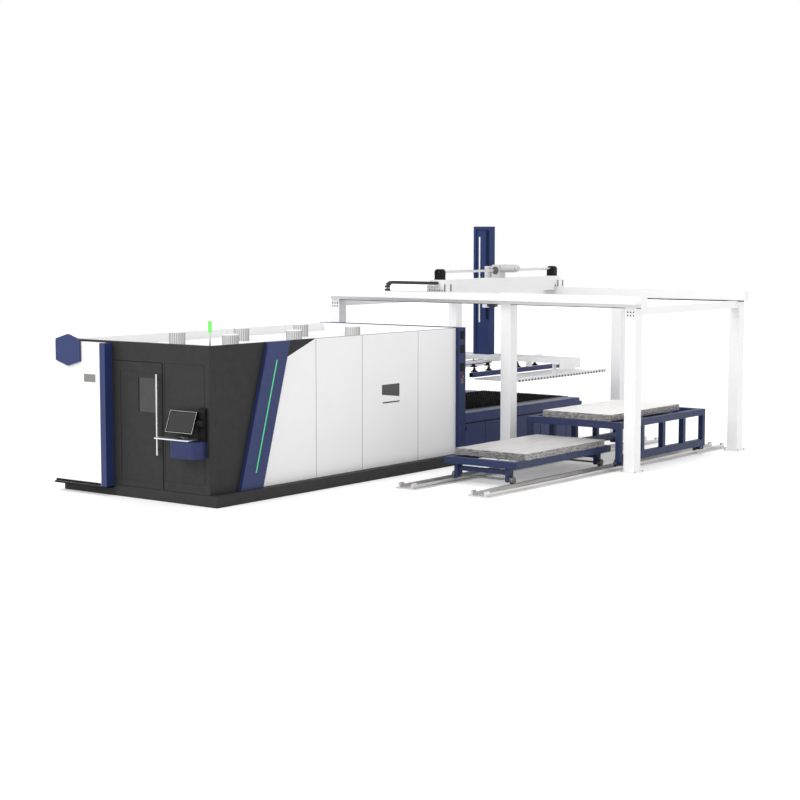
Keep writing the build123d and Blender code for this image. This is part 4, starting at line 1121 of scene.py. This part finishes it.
# %% Motor fins
motor_low, motor_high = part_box("drive_motor")
motor_middle = (motor_low.y + motor_high.y) / 2
motor_axis = motor_high.z - 0.075
fin = add_drum("motor_fins", (motor_low.x + 0.215, motor_middle, motor_axis), 0.080, 0.010, "X", 36)
round_edges(fin, 0.002, 1)
row(fin, 11, (0.026, 0, 0))
dress(smooth(fin), grey_coat, "bridge")

# %% [markdown]
# The wall panels hang next to each other with a narrow joint, closed by a grey profile. A second profile
# edges the panels' tops. On the picture these joints are what divides the long white side.

# %% Joint profiles of the long side
panel_low, panel_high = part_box("side_panels")
seam_places = (-0.7228, 0.5269, 2.1470)
profile_half = 0.0055
joints = []
for y in seam_places:
    joints.append(rounded_block(
        "joint",
        (panel_high.x - 0.012, y - profile_half, panel_low.z),
        (panel_high.x + 0.001, y + profile_half, panel_high.z),
        0.001, 1,
    ))
joints.append(rounded_block(
    "joint",
    (panel_high.x - 0.003, -0.72, panel_high.z - 0.006),
    (panel_high.x + 0.002, panel_high.y, panel_high.z + 0.002),
    0.001, 1,
))
dress(join("joint_profiles", joints), plate_grey, "root")

# %% [markdown]
# Under the bridge hangs the drive that lifts the mast: a pale pinion housing in front of the rack and a dark
# motor beside it. The housing is a block with an inset cover, the motor a drum with a stepped end and fins,
# and a bracket holds the motor to the bridge.

# %% Lift drive at the mast
bridge_low, bridge_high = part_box("bridge")
lift_front = rack_low.y - 0.090
lift_rear = rack_low.y - 0.008
lift_middle = (lift_front + lift_rear) / 2
lift_axis = 2.868
motor_start = rack_high.x + 0.050
belly_underside = 3.117
housing = add_block(
    "pinion_housing", (rack_low.x - 0.020, lift_front, 2.80), (motor_start, lift_rear, 2.95)
)
push_in(housing, facing(1, -1), 0.014, 0.004)
round_edges(housing, 0.006)
dress(housing, white_coat, "bridge")
lift_motor = add_drum("lift_motor", (motor_start + 0.105, lift_middle, lift_axis), 0.050, 0.21, "X", 32)
push_in(lift_motor, facing(0, 1), 0.010, 0.006)
round_edges(lift_motor, 0.003)
lift_fin = add_drum("lift_fin", (motor_start + 0.060, lift_middle, lift_axis), 0.055, 0.006, "X", 32)
row(lift_fin, 6, (0.022, 0, 0))
holder = rounded_block(
    "holder",
    (motor_start + 0.002, lift_front + 0.010, 2.87),
    (motor_start + 0.032, lift_rear - 0.006, belly_underside),
    0.003,
)
dress(smooth(join("lift_motor", [lift_motor, lift_fin, holder])), machine_coat, "bridge")

# %% [markdown]
# The bridge rolls on a truck at each end. A rubber wiper at the truck's ends keeps the track clean, and a row
# of bolts along its lower edge holds the rollers.

# %% Wipers and bolts on the trucks
truck_x = (bridge_low.x + bridge_high.x) / 2
truck_half = 0.1975
wipers = []
truck_bolts = []
for y in post_rows:
    for side in (-1, 1):
        ends = sorted((truck_x + side * truck_half, truck_x + side * (truck_half + 0.012)))
        for face in (-1, 1):
            across = sorted((y + face * 0.112, y + face * 0.090))
            wipers.append(rounded_block(
                "wiper",
                (ends[0], across[0], girder_high.z + 0.006),
                (ends[1], across[1], girder_high.z + 0.146),
                0.003,
            ))
    for place in (-0.15, -0.09, -0.03, 0.03, 0.09, 0.15):
        for face in (-1, 1):
            middle = (truck_x + place, y + face * 0.115, girder_high.z + 0.028)
            truck_bolts.append(bolt_head("truck_bolt", middle, "Y", face, 0.012))
dress(join("truck_wipers", wipers), black_rubber, "bridge")
dress(join("truck_bolts", truck_bolts), black_coat, "bridge")

# %% [markdown]
# A bearing flange closes the gearbox where the shaft comes out on either side. It is a ring, so the shaft
# turns freely in it, with six bolts round it.

# %% Bearing flanges on the gearbox
shaft_low, shaft_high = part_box("drive_shaft")
shaft_middle = (shaft_low + shaft_high) / 2
flange_depth = 0.012
bolt_circle = 0.058
flange_parts = []
for y, sign in ((motor_low.y, -1), (motor_high.y, 1)):
    middle = (shaft_middle.x, y + sign * flange_depth / 2, shaft_middle.z)
    flange = open_through(add_drum("flange", middle, 0.078, flange_depth, "Y", 32), 1, 0.046)
    flange_parts.append(round_edges(flange, 0.002, 1))
    for count in range(6):
        angle = math.pi * count / 3
        place = (
            shaft_middle.x + bolt_circle * math.cos(angle),
            y + sign * flange_depth,
            shaft_middle.z + bolt_circle * math.sin(angle),
        )
        flange_parts.append(bolt_head("flange_bolt", place, "Y", sign, 0.008))
dress(join("bearing_flanges", flange_parts), machine_coat, "bridge")

# %% [markdown]
# A rubber skirt runs along the foot of the door housing, with three thicker pads on it.

# %% Skirt of the housing
skirt_parts = [rounded_block(
    "housing_skirt",
    (housing_low.x - 0.002, housing_low.y - 0.003, housing_low.z + 0.002),
    (housing_high.x - 0.004, housing_low.y, housing_low.z + 0.046),
    0.0012, 1,
)]
for share in (0.04, 0.40, 0.86):
    x = housing_low.x + share * (housing_high.x - housing_low.x)
    skirt_parts.append(rounded_block(
        "pad",
        (x - 0.045, housing_low.y - 0.016, housing_low.z + 0.004),
        (x + 0.045, housing_low.y - 0.002, housing_low.z + 0.036),
        0.005,
    ))
dress(join("housing_skirt", skirt_parts), black_rubber, "root")
